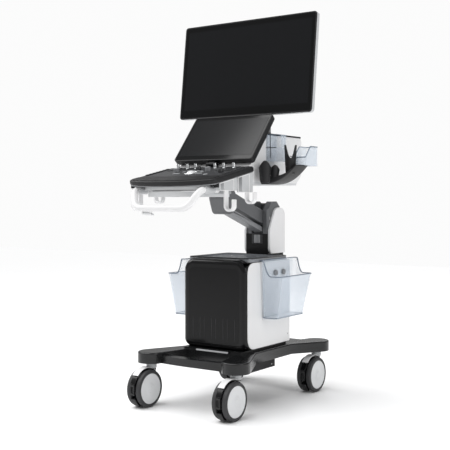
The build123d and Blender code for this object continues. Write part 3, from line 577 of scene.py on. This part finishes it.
def dress_column():
    for node, mat, bevel in (("column_mast", SHEET, 0), ("column_front_cover", BLACK_GLOSS, 0.002),
                             ("column_side_covers", WHITE, 0), ("arm_yoke", GRAPHITE, 0.0022),
                             ("arm_pivot_pins", STEEL, 0), ("arm_upper_link", GRAPHITE, 0),
                             ("arm_lower_link", MID, 0.0015), ("arm_bracket", GRAPHITE, 0.0030),
                             ("caster_stems", STEEL, 0.0008)):
        dress(node, mat, bevel)
    low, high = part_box("column_front_cover")
    x = (low[0] + high[0]) / 2
    groove = facing("front", (x, low[1], high[2] - 0.022))
    prism("column_recess", rounded(0.052, 0.038, 0.003), groove, -0.0005, 0.0008, DARK_GRAPHITE, "base",
          "black_matte", 0.0004)
    barrel = [(-0.017, 0.0003), (-0.017, 0.0170), (-0.0155, 0.0185), (0.0155, 0.0185), (0.017, 0.0170),
              (0.017, 0.0003)]
    piece("column_barrel", *revolve_data(barrel, facing("top", (x, low[1] + 0.0105, high[2] - 0.021)), 48),
          MID, "base", "light_grey")
    rear = facing("back", (x, high[1], high[2] - 0.02))
    vents = [prism_data(shifted(rounded(0.066, 0.0034, 0.0016, 3), 0, -i * 0.009), rear, -0.0004, 0.0006)
             for i in range(6)]
    piece("column_rear_ribs", *merged(vents), BLACK_MATTE, "base", "black_matte")


# ---------------------------------------------------------------- console

PANEL_SLOPE = radians(11.6)
BALL_SINK = 0.012
PANEL_HALF = 0.198
PANEL_THICK = 0.020
D_LINE, D_DEPTH, D_REAR = -0.1133, 0.0510, 0.1297


def panel_axes():
    """Axes on the control panel's upper face: x across, y up the slope, z out of it, at the trackball."""
    spot = axes((0, 0, 0), (1, 0, 0), (0, cos(PANEL_SLOPE), sin(PANEL_SLOPE)))
    ball = middle("trackball")
    spot.translation = ball + spot.to_3x3() @ Vector((0, 0, BALL_SINK))
    return spot


def d_outline(half, depth, rear, line, steps=40, corner=0.012):
    """A D: straight sides and back, with a wide elliptical front."""
    points = [(half * cos(pi + i * pi / steps), line + depth * sin(pi + i * pi / steps))
              for i in range(steps + 1)]
    for sx, start in ((1, 0.0), (-1, pi / 2)):
        for i in range(5):
            angle = start + i / 4 * pi / 2
            points.append((sx * (half - corner) + corner * cos(angle), rear - corner + corner * sin(angle)))
    return points


def console_top():
    """Palm rest and key deck on the sloping panel, with the neck that carries the touch screen."""
    spot = panel_axes()
    body = d_outline(PANEL_HALF, D_DEPTH, D_REAR, D_LINE)
    prism("palm_rest", body, spot, -PANEL_THICK, 0, PALM, "console", "black_matte", 0.0065,
          segments=5, replaces=("console_panel",))
    lifted = d_outline(PANEL_HALF - 0.010, D_DEPTH - 0.008, -0.070, D_LINE, corner=0.020)
    prism("palm_pad", lifted, spot, -0.001, 0.0022, PALM, "console", "black_matte", 0.0018)
    deck = d_outline(PANEL_HALF - 0.012, 0.018, D_REAR - 0.008, -0.052, corner=0.010)
    prism("key_deck", deck, spot, -0.001, 0.0012, DARK_GRAPHITE, "console", "graphite", 0.0008)
    edge = d_outline(PANEL_HALF - 0.004, D_DEPTH - 0.004, D_REAR - 0.003, D_LINE)
    edge_line = [spot @ Vector((x, y, -PANEL_THICK + 0.0005)) for x, y in edge]
    band = in_mm(((-1.5, -2.4), (-1.5, 1.2), (1.5, 1.2), (1.5, -2.4)))
    piece("panel_band", *sweep_data(edge_line, band, closed=True), MID, "console", "mid_grey")
    keys(spot)
    neck()


def key_data(spot, x, y, wide, tall, radius, high=0.0032):
    outline = shifted(rounded(wide, tall, radius, 4), x, y)
    return prism_data(outline, spot, 0.0002, high)


def keys(spot):
    """The small keys round the trackball, in rows, an arc and two side columns, and the fixed controls."""
    dark, light = [], []
    for i in range(9):
        x = (i - 4) * 0.034
        if abs(x) > 0.03:
            dark.append(key_data(spot, x, 0.110, 0.024, 0.010, 0.0035))
    for i in range(7):
        dark.append(key_data(spot, -0.176, -0.040 + i * 0.0205, 0.012, 0.015, 0.003, 0.0045))
        dark.append(key_data(spot, 0.176, -0.040 + i * 0.0205, 0.012, 0.015, 0.003, 0.0040))
    for row in range(3):
        for column in range(4):
            x = 0.075 + column * 0.0235
            if row == 0 and column == 0:
                continue
            dark.append(key_data(spot, x, 0.036 + row * 0.0215, 0.018, 0.013, 0.0035))
            if column != 1 or row != 1:
                dark.append(key_data(spot, -x, 0.056 + row * 0.0165, 0.018, 0.0105, 0.0035))
    for i in range(6):
        angle = radians(28 + i * 24.8)
        light.append(key_data(spot, 0.048 * cos(angle), 0.036 * sin(angle) - 0.003, 0.013, 0.010, 0.004,
                              0.0038))
    for x in (-0.052, 0.052):
        light.append(key_data(spot, x, -0.022, 0.030, 0.014, 0.006, 0.0038))
    piece("keys_dark", *merged(dark), KEY_DARK, "console", "black_matte", 0.0007, segments=2)
    piece("keys_light", *merged(light), KEY_LIGHT, "console", "light_grey", 0.0007, segments=2)
    ring = [(-0.0005, 0.0226), (-0.0005, 0.0275), (0.0014, 0.0275), (0.0026, 0.0262), (0.0026, 0.0238),
            (0.0012, 0.0226)]
    piece("trackball_ring", *revolve_data(ring, spot, 72), SILVER, "console", "steel")
    collars = []
    for node in ("gain_knob", "mode_knob", "power_button", "freeze_button"):
        flat = spot.inverted() @ middle(node)
        radius = 0.0135 if "knob" in node else 0.0108
        inner = 0.0036 if "knob" in node else 0.0095
        here = spot @ Matrix.Translation((flat.x, flat.y, 0))
        collars.append(revolve_data([(-0.0004, inner), (-0.0004, radius), (0.0009, radius),
                                     (0.0013, radius - 0.0008), (0.0013, inner)], here, 48))
    piece("control_collars", *merged(collars), SILVER, "console", "steel")
    sticks = []
    for x, y in ((-0.003, 0.052), (0.134, 0.001)):
        here = spot @ Matrix.Translation((x, y, 0))
        sticks.append(revolve_data([(0, 0.0002), (0, 0.0105), (0.002, 0.0110), (0.014, 0.0098),
                                    (0.0158, 0.0082), (0.0162, 0.0002)], here, 40))
    piece("fixed_knobs", *merged(sticks), KEY_DARK, "console", "black_matte")
    encoders = []
    for x in (-0.130, -0.085, -0.045, 0.045, 0.085, 0.130):
        here = spot @ Matrix.Translation((x, 0.0945, 0))
        encoders.append(revolve_data([(0, 0.0002), (0, 0.0070), (0.003, 0.0072), (0.004, 0.0062),
                                      (0.018, 0.0060), (0.0205, 0.0048), (0.0208, 0.0002)], here, 40))
    piece("encoder_knobs", *merged(encoders), SILVER, "console", "steel")


def knob(node, mat):
    """A ribbed knob with a pale pointer line."""
    spot = panel_axes()
    flat = spot.inverted() @ middle(node)
    here = spot @ Matrix.Translation((flat.x, flat.y, 0))
    ribs = 36
    rings = []
    for z, radius, rib in ((0.0018, 0.0108, 0), (0.0022, 0.0110, 0.0004), (0.0125, 0.0104, 0.0004),
                           (0.0138, 0.0100, 0), (0.0147, 0.0086, 0), (0.0149, 0.0040, 0)):
        ring = []
        for i in range(ribs * 2):
            angle = i * pi / ribs
            reach = radius - (rib if i % 2 else 0)
            ring.append(here @ Vector((reach * cos(angle), reach * sin(angle), z)))
        rings.append(ring)
    piece(f"{node}_grip", *loft_data(rings), mat, node, "mid_grey", replaces=(node,))
    line = prism_data(shifted(rounded(0.0013, 0.006, 0.0006, 3), 0, 0.006), here, 0.0146, 0.0152)
    piece(f"{node}_line", *line, WHITE, node, "white")


def neck():
    """The upright behind the panel that the touch screen tilts on."""
    hinge = joint_place("touch_screen_tilt")
    profile = [(hinge.y + y, hinge.z + z)
               for y, z in ((-0.016, -0.047), (-0.0002, -0.047), (-0.0002, -0.013), (-0.016, -0.013))]
    side = axes((0, 0, 0), (0, 1, 0), (0, 0, 1))
    parts = [prism_data(profile, side, -0.024, 0.024)]
    for x in (-0.024, 0.013):
        arc = [radians(d) for d in range(-20, 201, 20)]
        ear = [(hinge.y + 0.008 * cos(a), hinge.z + 0.008 * sin(a)) for a in arc]
        ear += [(hinge.y - 0.0120, hinge.z - 0.016), (hinge.y, hinge.z - 0.018)]
        parts.append(prism_data(ear, side, x, x + 0.011))
    piece("screen_neck", *merged(parts), BLACK_MATTE, "console", "black_matte", 0.0010)


def console_body():
    for node, mat, bevel in (("console_shell", PALE, 0.0018), ("keyboard_drawer", PALE, 0.0016),
                             ("trackball", DOME, 0), ("handle_lever", PALE, 0.0008),
                             ("probe_holders", LIGHT, 0.0014), ("cable_hooks", WHITE, 0.0021),
                             ("rear_housing", WHITE, 0.0040), ("housing_lid", BLACK_MATTE, 0.0018),
                             ("clear_bins", CLEAR, 0), ("power_button", KEY_LIGHT, 0),
                             ("freeze_button", KEY_LIGHT, 0)):
        dress(node, mat, bevel)
    drawer_keys()
    handle()
    holder_trim()
    housing_detail()


def drawer_keys():
    low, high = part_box("keyboard_drawer")
    bed = high[2] - 0.006
    rows, columns = 5, 13
    wide, deep = high[0] - low[0] - 0.034, 0.146
    top = facing("top", ((low[0] + high[0]) / 2, low[1] + 0.123, bed))
    keys_list = []
    for row in range(rows):
        for column in range(columns):
            x = (column - (columns - 1) / 2) * wide / columns
            y = (row - (rows - 1) / 2) * deep / rows
            keys_list.append(prism_data(shifted(rounded(wide / columns - 0.002, deep / rows - 0.004,
                                                                            0.0015, 3), x, y), top, 0.0,
                                        0.0042))
    piece("drawer_keys", *merged(keys_list), KEY_LIGHT, "drawer", "light_grey")
    low_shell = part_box("console_shell")[0]
    runners = []
    for x in (low[0] - 0.006, high[0] + 0.006):
        outline = rounded(0.006, 0.012, 0.001, 3)
        runners.append(prism_data(outline, facing("front", (x, low[1] + 0.18, low_shell[2] - 0.007)), -0.05,
                                  0.115))
    piece("drawer_runners", *merged(runners), SHEET, "console", "sheet_metal")


def handle():
    """The white tube handle on two arms from under the console, with its lever's lugs."""
    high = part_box("console_handle")[1]
    tube = 0.0125
    arm_z = high[2] - tube
    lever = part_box("handle_lever")
    joint = joint_place("handle_lever_squeeze")
    bar_y = joint.y
    bar_z = joint.z + 0.018
    half, corner = high[0] - tube, 0.117
    bend_y = bar_y + 0.037
    corners = [(half, high[1], arm_z), (half, bend_y, arm_z), (corner, bar_y, bar_z),
               (-corner, bar_y, bar_z), (-half, bend_y, arm_z), (-half, high[1], arm_z)]
    path = rounded_path(corners, 0.030, 12)
    piece("push_handle", *sweep_data(path, circle(tube, 28)), WHITE, "console", "white",
          replaces=("console_handle",))
    lugs = []
    side = axes((0, 0, 0), (0, 1, 0), (0, 0, 1))
    for x in (lever[0][0], lever[1][0] - 0.004):
        arc = [radians(d) for d in range(180, 361, 20)]
        outline = [(joint.y + 0.005 * cos(a), joint.z + 0.005 * sin(a)) for a in arc]
        outline += [(joint.y + 0.008, bar_z), (joint.y - 0.008, bar_z)]
        lugs.append(prism_data(outline, side, x, x + 0.004))
    piece("lever_lugs", *merged(lugs), WHITE, "console", "white", 0.0006)
    sleeves = []
    for side_x in (-half, half):
        spot = facing("back", (side_x, bend_y + 0.016, arm_z))
        sleeves.append(revolve_data([(0, 0.0120), (0, 0.0145), (0.002, 0.0158), (0.052, 0.0165),
                                     (0.054, 0.0150), (0.054, 0.0120)], spot, 40))
    piece("handle_sleeves", *merged(sleeves), LIGHT, "console", "light_grey")


def holder_trim():
    """Pale edges on the probe holders' plates, and black upright strips of painted shade in the gaps in
    front of them.
    """
    low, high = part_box("probe_holders")
    shift = low[1] + 0.375
    edges, slots = [], []
    slope = tan(PANEL_SLOPE)
    top_ref = panel_axes() @ Vector((0, 0, -PANEL_THICK))
    for side in SIDES.values():
        for front, rear, bottom in ((-0.375, -0.291, 0.817), (-0.261, -0.190, 0.811)):
            y0, y1 = front + shift, rear + shift
            tops = [top_ref.z + (y - top_ref.y) * slope - 0.0015 for y in (y0, y1)]
            corners = [(y0, bottom), (y1, bottom), (y1, tops[1]), (y0, tops[0])]
            path = [Vector((side * (high[0] + 0.0002), y, z)) for y, z in corners]
            strip = in_mm(((-1.3, -0.8), (-1.3, 1.0), (1.3, 1.0), (1.3, -0.8)))
            for a, b in zip(path, path[1:] + path[:1]):
                edges.append(sweep_data([a, b], strip, up=(side, 0, 0)))
        # Black strips just in front of each plate: painted shade where the gap before the plate lies in
        # shadow.
        for front, bottom in ((-0.375, 0.826), (-0.261, 0.826)):
            y1 = front + shift - 0.0004
            y0 = y1 - 0.013
            rise = [top_ref.z + (y - top_ref.y) * slope - 0.001 for y in (y0, y1)]
            outline = [(y0, bottom), (y1, bottom), (y1, rise[1]), (y0, rise[0])]
            x0, x1 = sorted((side * 0.1824, side * 0.1965))
            slots.append(prism_data(outline, axes((0, 0, 0), (0, 1, 0), (0, 0, 1)), x0, x1))
    piece("holder_edges", *merged(edges), WHITE, "console", "white", 0.0004)
    piece("holder_gap_shade", *merged(slots), BLACK_MATTE, "console", "black_matte", 0.0004)


def housing_detail():
    """Small sockets on the front slope, ribs on the flanks, and the rear connector field."""
    low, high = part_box("rear_housing")
    front = Vector((0, low[1], low[2] + 0.055))
    crest = Vector((0, low[1] + 0.140, high[2]))
    along = (crest - front).normalized()
    slots = []
    for t in (0.30, 0.42):
        spot = axes(front.lerp(crest, t) + Vector((high[0] - 0.012, 0, 0)), (1, 0, 0), along)
        slots.append(prism_data(rounded(0.006, 0.014, 0.001, 3), spot, -0.0005, 0.0006))
    piece("housing_sockets", *merged(slots), BLACK_MATTE, "console", "black_matte")
    ribs = []
    for side, x in (("left", low[0]), ("right", high[0])):
        for i in range(8):
            spot = facing(side, (x, high[1] - 0.060, low[2] + 0.045 + i * 0.009))
            ribs.append(prism_data(rounded(0.062, 0.0032, 0.0015, 3), spot, -0.0004, 0.0005))
    piece("housing_vents", *merged(ribs), DARK_GRAPHITE, "console", "black_matte")
    plate = facing("back", (0, high[1], low[2] + 0.105))
    prism("connector_plate", rounded(0.210, 0.072, 0.008), plate, -0.001, 0.0012, MID, "console",
          "mid_grey", 0.0008)
    rings = []
    for i, x in enumerate((-0.085, -0.061, -0.034, -0.004, 0.026, 0.056, 0.083)):
        spot = plate @ Matrix.Translation((x, 0.012 if i % 2 else 0.014, 0))
        if i % 2:
            rings.append(revolve_data([(0.0008, 0.0035), (0.0008, 0.0062), (0.0034, 0.0062),
                                       (0.0034, 0.0035)], spot, 32))
        else:
            rings.append(prism_data(rounded(0.017, 0.008, 0.0015, 3), spot, 0.0006, 0.0020))
    for i in range(6):
        spot = plate @ Matrix.Translation((-0.078 + i * 0.031, -0.016, 0))
        rings.append(prism_data(rounded(0.016, 0.012, 0.0015, 3), spot, 0.0006, 0.0018))
    piece("rear_connectors", *merged(rings), BLACK_MATTE, "console", "black_matte", 0.0003)


def cup_data(x, y, bottom, top, radius, inner, dip, low_side):
    """A rubber probe cup: tapered and open, with a rolled rim that dips on two opposite sides."""
    wall = [(bottom, radius * 0.45), (bottom + 0.003, radius * 0.74), (bottom + 0.012, radius * 0.80),
            (bottom + (top - bottom) * 0.55, radius * 0.91), (top - 0.006, radius * 0.985),
            (top - 0.002, radius), (top, radius * 0.95), (top, inner + 0.0015), (top - 0.003, inner),
            (bottom + 0.014, inner * 0.98),
            (bottom + 0.0125, inner * 0.9), (bottom + 0.0125, 0.0003), (bottom, 0.0003)]
    verts, faces = revolve_data(wall, facing("top", (x, y, 0)), 56)
    middle_z = bottom + (top - bottom) * 0.5
    for vert in verts:
        share = (vert.z - middle_z) / (top - middle_z)
        turn = atan2(vert.y - y, vert.x - x) - radians(low_side)
        if share > 0:
            vert.z -= dip * cos(turn) ** 2 * share
    return verts, faces


def probe_rack():
    """Black rubber cups on a curved bracket at the console's right, and the black edges of the clear bin."""
    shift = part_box("probe_rack")[0][1] + 0.136
    cups = ((0.203, -0.112, 0.846, 0.930, 0.024, 0.017, 0.026, 34),
            (0.214, -0.060, 0.862, 0.916, 0.019, 0.013, 0.018, 34),
            (0.262, -0.024, 0.880, 0.992, 0.024, 0.016, 0.050, 124))
    data = [cup_data(x, y + shift, *sizes) for x, y, *sizes in cups]
    piece("probe_cups", *merged(data), RUBBER, "console", "rubber", replaces=("probe_rack",))
    steps = 14
    rings = []
    for i in range(steps + 1):
        t = i / steps
        x = 0.167 + t * 0.137
        under = 0.843 + 0.069 * t ** 2.3
        thick = 0.030 * (1 - t) + 0.004
        half = 0.062 * (1 - 0.28 * t)
        ring = []
        for u, v in rounded(2 * half, thick, min(thick, 0.010) / 2 * 0.98, 4):
            ring.append(Vector((x, shift - 0.022 + u + 0.010 * t, under + thick / 2 + v)))
        rings.append(ring)
    piece("rack_bracket", *loft_data(rings), RUBBER, "console", "rubber")
    bin_low, bin_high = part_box("clear_bins")
    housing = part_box("rear_housing")[1]
    near_front, near_rear = bin_low[1], bin_low[1] + 0.077
    x0, x1 = housing[0] + 0.001, housing[0] + 0.046
    face, bar_x, bar_z = near_front - 0.0006, x1 - 0.026, bin_high[2] - 0.050
    bars = [[Vector((bar_x, face, bin_high[2] - 0.002)), Vector((bar_x, face, bin_high[2] - 0.090))],
            [Vector((x0, face, bar_z)), Vector((x1 + 0.001, face, bar_z))]]
    strip = in_mm(((-1.3, -0.7), (-1.3, 0.7), (1.3, 0.7), (1.3, -0.7)))
    piece("bin_bars", *merged([sweep_data(bar, strip, up=(0, 1, 0)) for bar in bars]), BLACK_MATTE,
          "console", "black_matte")
    centre = Vector(((x0 - 0.0005 + x1) / 2, (near_front + near_rear) / 2, bin_high[2]))
    loop = [centre + Vector((u, v, 0)) for u,
            v in rounded(x1 - x0 + 0.0005, near_rear - near_front, 0.004, 3)]
    edge = in_mm(((-1.6, -1), (-1.6, 1), (1, 1), (1, -1)))
    piece("bin_rim", *sweep_data(loop, edge, closed=True), CLEAR_EDGE, "console", "clear")
    scoop()


def scoop():
    """The rolled edge round the slanted mouth of the outer bin."""
    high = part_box("clear_bins")[1]
    x0, x1 = high[0] - 0.0495, high[0] - 0.0005
    y0, y1 = high[1] - 0.092, high[1]
    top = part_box("rear_housing")[0][2] + 0.138
    bottom = top - 0.042
    mouth = [Vector((x0, y0, bottom)), Vector((x1, y0, bottom)), Vector((x1, y0 + 0.036, top)),
             Vector((x1, y1, top)), Vector((x0, y1, top)), Vector((x0, y0 + 0.036, top))]
    section = in_mm(((-1.4, -1.2), (-1.4, 1.2), (1.4, 1.2), (1.4, -1.2)))
    rails = [sweep_data([start, end], section, up=(1, 0.2, 0.3)) for start,
             end in zip(mouth, mouth[1:] + mouth[:1])]
    piece("scoop_rim", *merged(rails), CLEAR_EDGE, "console", "clear")


# ---------------------------------------------------------------- screens

MONITOR_LEAN, TOUCH_LEAN = 6.5, 40.1


def screen_axes(node, lean_deg):
    """Axes at the middle of a leaning screen's glass, from the glass node's box."""
    lean = radians(lean_deg)
    low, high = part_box(node)
    spot = axes((0, 0, 0), (1, 0, 0), (0, sin(lean), cos(lean)))
    normal = spot.to_3x3() @ Vector((0, 0, 1))
    height = (high[2] - low[2] - 0.003 * sin(lean)) / cos(lean)
    spot.translation = (Vector(low) + Vector(high)) / 2 + normal * 0.0015
    return spot, high[0] - low[0], height


def frame_ring(outer, inner, spot, low, high):
    """A flat frame between two outlines with the same number of points."""
    n = len(outer)
    layers = [(outer, low), (outer, high), (inner, high), (inner, low)]
    verts = [spot @ Vector((x, y, z)) for points, z in layers for x, y in points]
    faces = []
    for layer in range(4):
        other = (layer + 1) % 4
        faces += [(layer * n + i, layer * n + (i + 1) % n, other * n + (i + 1) % n, other * n + i)
                  for i in range(n)]
    return verts, faces


def screens():
    dress("touch_shell", BLACK_MATTE, 0)
    dress("touch_glass", GLASS, 0)
    dress("monitor_shell", LIGHT, 0.0022)
    dress("monitor_glass", GLASS, 0)
    spot, wide, tall = screen_axes("monitor_glass", MONITOR_LEAN)
    outer, inner = rounded(wide + 0.0072, tall + 0.0072, 0.0122), rounded(wide - 0.004, tall - 0.004, 0.008)
    piece("monitor_bezel", *frame_ring(outer, inner, spot, -0.0010, 0.0015), BLACK_MATTE, "monitor",
          "black_gloss", 0.0005)
    prism("monitor_display", rounded(0.5977, 0.3363, 0.001, 2), spot @ Matrix.Translation((0, 0.006, 0)),
          -0.0002, 0.0007, ACTIVE, "monitor", "screen_glass", 0)
    spot, wide, tall = screen_axes("touch_glass", TOUCH_LEAN)
    outer, inner = rounded(wide + 0.0066, tall + 0.0066, 0.0120), rounded(wide - 0.003, tall - 0.003, 0.008)
    piece("touch_bezel", *frame_ring(outer, inner, spot, -0.0010, 0.0012), BLACK_MATTE, "touch_screen",
          "black_gloss", 0.0005)
    prism("touch_display", rounded(0.3442, 0.1936, 0.001, 2), spot @ Matrix.Translation((0, 0.002, 0)),
          -0.0002, 0.0006, ACTIVE, "touch_screen", "screen_glass", 0)
    monitor_back()


def monitor_back():
    """Vent slots and a socket bay on the back of the monitor."""
    turned = screen_axes("monitor_glass", MONITOR_LEAN)[0] @ Matrix.Rotation(pi, 4, "Y")
    vents = []
    for i in range(22):
        x = (i - 10.5) * 0.0145
        vents.append(prism_data(shifted(rounded(0.003, 0.022, 0.0014, 3), x, 0.098), turned, 0.0290,
                                0.0306))
    piece("monitor_vents", *merged(vents), DARK_GRAPHITE, "monitor", "black_matte")
    bay = turned @ Matrix.Translation((0.150, -0.060, 0))
    prism("monitor_sockets", rounded(0.082, 0.024, 0.004), bay, 0.0285, 0.0304, BLACK_MATTE, "monitor",
          "black_matte", 0.0006)


# ---------------------------------------------------------------- monitor arm

def wing_parts(name):
    """White inner end and dark strut ends of one folding wing."""
    side = SIDES[name]
    body = f"wing_{name}"
    dress(body, LIGHT, 0.0012)
    low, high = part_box(body)
    pivot = joint_place(f"{body}_fold")
    elbow = joint_place(f"link_{name}_level")
    mid_y = (low[1] + high[1]) / 2
    along = Vector((elbow.x - pivot.x, 0, elbow.z - pivot.z))
    length = along.length
    spot = axes((pivot.x, mid_y, pivot.z), along, Vector((-along.z, 0, along.x)) * side)
    depth = high[1] - low[1]

    def sleeve(radius, x0, x1, taper=0.0):
        """A rounded sleeve round the beam between two distances along it."""
        arc = [radians(90 + d) for d in range(0, 181, 15)]
        outline = [(x0 + radius * cos(a), radius * sin(a)) for a in arc]
        outline += [(x1, -radius + taper), (x1, radius - taper)]
        return prism_data(outline, spot, -depth / 2 - 0.0008, depth / 2 + 0.0008)

    piece(f"wing_cap_{name}", *sleeve(0.0212, 0.0, 0.024, 0.0003), WHITE, body, "white", 0.0045, segments=4)
    ends = []
    for x in (0.028, length - 0.022):
        here = spot @ Matrix.Translation((x, -0.029, 0))
        ends.append(prism_data(rounded(0.017, 0.0125, 0.004, 4), here, -0.0092, 0.0092))
    piece(f"strut_ends_{name}", *merged(ends), BLACK_MATTE, body, "black_matte", 0.0010)
    return spot, length


def monitor_arm():
    for node, mat, bevel in (("monitor_post", MID, 0.0012), ("link_right", MID, 0.0016),
                             ("link_left", MID, 0.0016), ("monitor_cradle", BLACK_MATTE, 0.0010)):
        dress(node, mat, bevel)
    for name in SIDES:
        spot, length = wing_parts(name)
        if name == "left":
            clip = spot @ Matrix.Translation((length * 0.42, 0.0165, 0))
            prism("wing_clip", rounded(0.034, 0.008, 0.0035), clip, -0.0205, 0.0205, BLACK_MATTE,
                  "wing_left", "black_matte", 0.0012)
            tip = spot @ Matrix.Translation((length * 0.42 - 0.022, 0.0165, 0))
            prism("wing_clip_tip", rounded(0.014, 0.007, 0.003), tip, -0.0200, 0.0200, WHITE, "wing_left",
                  "white", 0.0012)
    for name, side in SIDES.items():
        link = f"link_{name}"
        low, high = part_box(link)
        outer = high[0] if side > 0 else low[0]
        level = joint_place(f"{link}_level")
        block = facing("front", (outer - side * 0.024, low[1] + 0.017, (low[2] + high[2]) / 2))
        prism(f"elbow_clevis_{name}", rounded(0.0495, 0.0475, 0.012), block, -0.0175, 0.0178, BLACK_MATTE,
              link, "black_matte", 0.0015)
        window = facing("front", (outer - side * 0.021, low[1] - 0.0008, (low[2] + high[2]) / 2 + 0.004))
        prism(f"elbow_window_{name}", rounded(0.007, 0.014, 0.002), window, -0.0004, 0.0006, LIGHT, link,
              "light_grey", 0.0004)
        cap = facing("back", (level.x, high[1] - 0.009, level.z))
        profile = [(0, 0.0003), (0, 0.0185), (0.006, 0.0185), (0.0088, 0.0165), (0.0096, 0.012),
                   (0.0098, 0.0003)]
        piece(f"elbow_cap_{name}", *revolve_data(profile, cap, 56), LIGHT, link, "light_grey")
    post_low, post_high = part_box("monitor_post")
    knuckle = facing("front", (0, post_low[1] + 0.0098, post_high[2] - 0.021))
    prism("knuckle_plate", rounded(0.118, 0.040, 0.018), knuckle, -0.0004, 0.0012, BLACK_MATTE,
          "monitor_post", "black_matte", 0.0006)
    post = joint_place("post_swivel")
    rings = [revolve_data([(z, 0.0368), (z, 0.0374), (z + 0.003, 0.0374), (z + 0.003, 0.0368)],
                          facing("top", (post.x, post.y, 0)), 64) for z in (1.052, 1.060)]
    piece("post_rings", *merged(rings), DARK_GRAPHITE, "monitor_post", "black_matte")


# ---------------------------------------------------------------- stage, light and camera

def stage():
    """A plain pale floor."""
    half_wide, half_deep = 14.0, 7.0
    mesh = bpy.data.meshes.new("floor")
    mesh.from_pydata([(x * half_wide, y * half_deep, 0.0) for x, y in ((-1, -1), (1, -1), (1, 1), (-1, 1))],
                     [], [(0, 1, 2, 3)])
    floor = bpy.data.objects.new("floor", mesh)
    bpy.context.scene.collection.objects.link(floor)
    mesh.materials.append(surface("floor", (0.975, 0.975, 0.978), 0.6, mottle=0.004, specular=0.0))


def area_light(name, location, target, width, height, power):
    data = bpy.data.lights.new(name, "AREA")
    data.shape = "RECTANGLE"
    data.size, data.size_y = width, height
    data.energy = power
    light = bpy.data.objects.new(name, data)
    light.location = location
    light.rotation_euler = (Vector(target) - Vector(location)).to_track_quat("-Z", "Y").to_euler()
    bpy.context.scene.collection.objects.link(light)


def lighting():
    world = bpy.data.worlds.new("studio")
    bpy.context.scene.world = world
    world.use_nodes = True
    nodes, links = world.node_tree.nodes, world.node_tree.links
    ambient = nodes["Background"]
    ambient.inputs["Color"].default_value = (1.0, 1.0, 1.0, 1)
    ambient.inputs["Strength"].default_value = 0.42
    backdrop = nodes.new("ShaderNodeBackground")
    backdrop.inputs["Color"].default_value = (1.0, 1.0, 1.0, 1)
    backdrop.inputs["Strength"].default_value = 0.97
    ray = nodes.new("ShaderNodeLightPath")
    mix = nodes.new("ShaderNodeMixShader")
    links.new(ray.outputs["Is Camera Ray"], mix.inputs["Fac"])
    links.new(ambient.outputs["Background"], mix.inputs[1])
    links.new(backdrop.outputs["Background"], mix.inputs[2])
    links.new(mix.outputs["Shader"], nodes["World Output"].inputs["Surface"])
    target = (0, 0, 0.75)
    area_light("key", (-3.4, -0.8, 3.0), target, 2.0, 2.0, 55)
    area_light("side", (3.4, -0.6, 1.9), target, 1.2, 2.6, 34)
    area_light("rim", (-1.2, 3.4, 2.4), target, 2.4, 1.6, 30)
    sun = bpy.data.lights.new("overhead", "SUN")
    sun.energy = 2.0
    sun.angle = radians(50)
    overhead = bpy.data.objects.new("overhead", sun)
    overhead.rotation_euler = (radians(20), radians(-14), 0)
    bpy.context.scene.collection.objects.link(overhead)
    bpy.context.scene.view_settings.view_transform = "Standard"


def camera():
    """Level, from the front right, a little above half the machine's height."""
    bearing, distance, height = radians(34.2), 3.504, 0.783
    target_y = (cad_box[0][1] + cad_box[1][1]) / 2 + 0.07475
    data = bpy.data.cameras.new("camera")
    data.sensor_width = 36.0
    data.lens = 70.3
    data.shift_x, data.shift_y = -0.0267, -0.0556
    view = bpy.data.objects.new("camera", data)
    view.location = (distance * sin(bearing), target_y - distance * cos(bearing), height)
    view.rotation_euler = (pi / 2, 0, bearing)
    bpy.context.scene.collection.objects.link(view)
    bpy.context.scene.camera = view


dress_base()
for corner in CORNERS:
    caster(corner)
dress_cabinet()
for name in SIDES:
    basket(name)
dress_column()
console_body()
console_top()
knob("gain_knob", MID)
knob("mode_knob", MID)
probe_rack()
screens()
monitor_arm()
stage()
lighting()
camera()
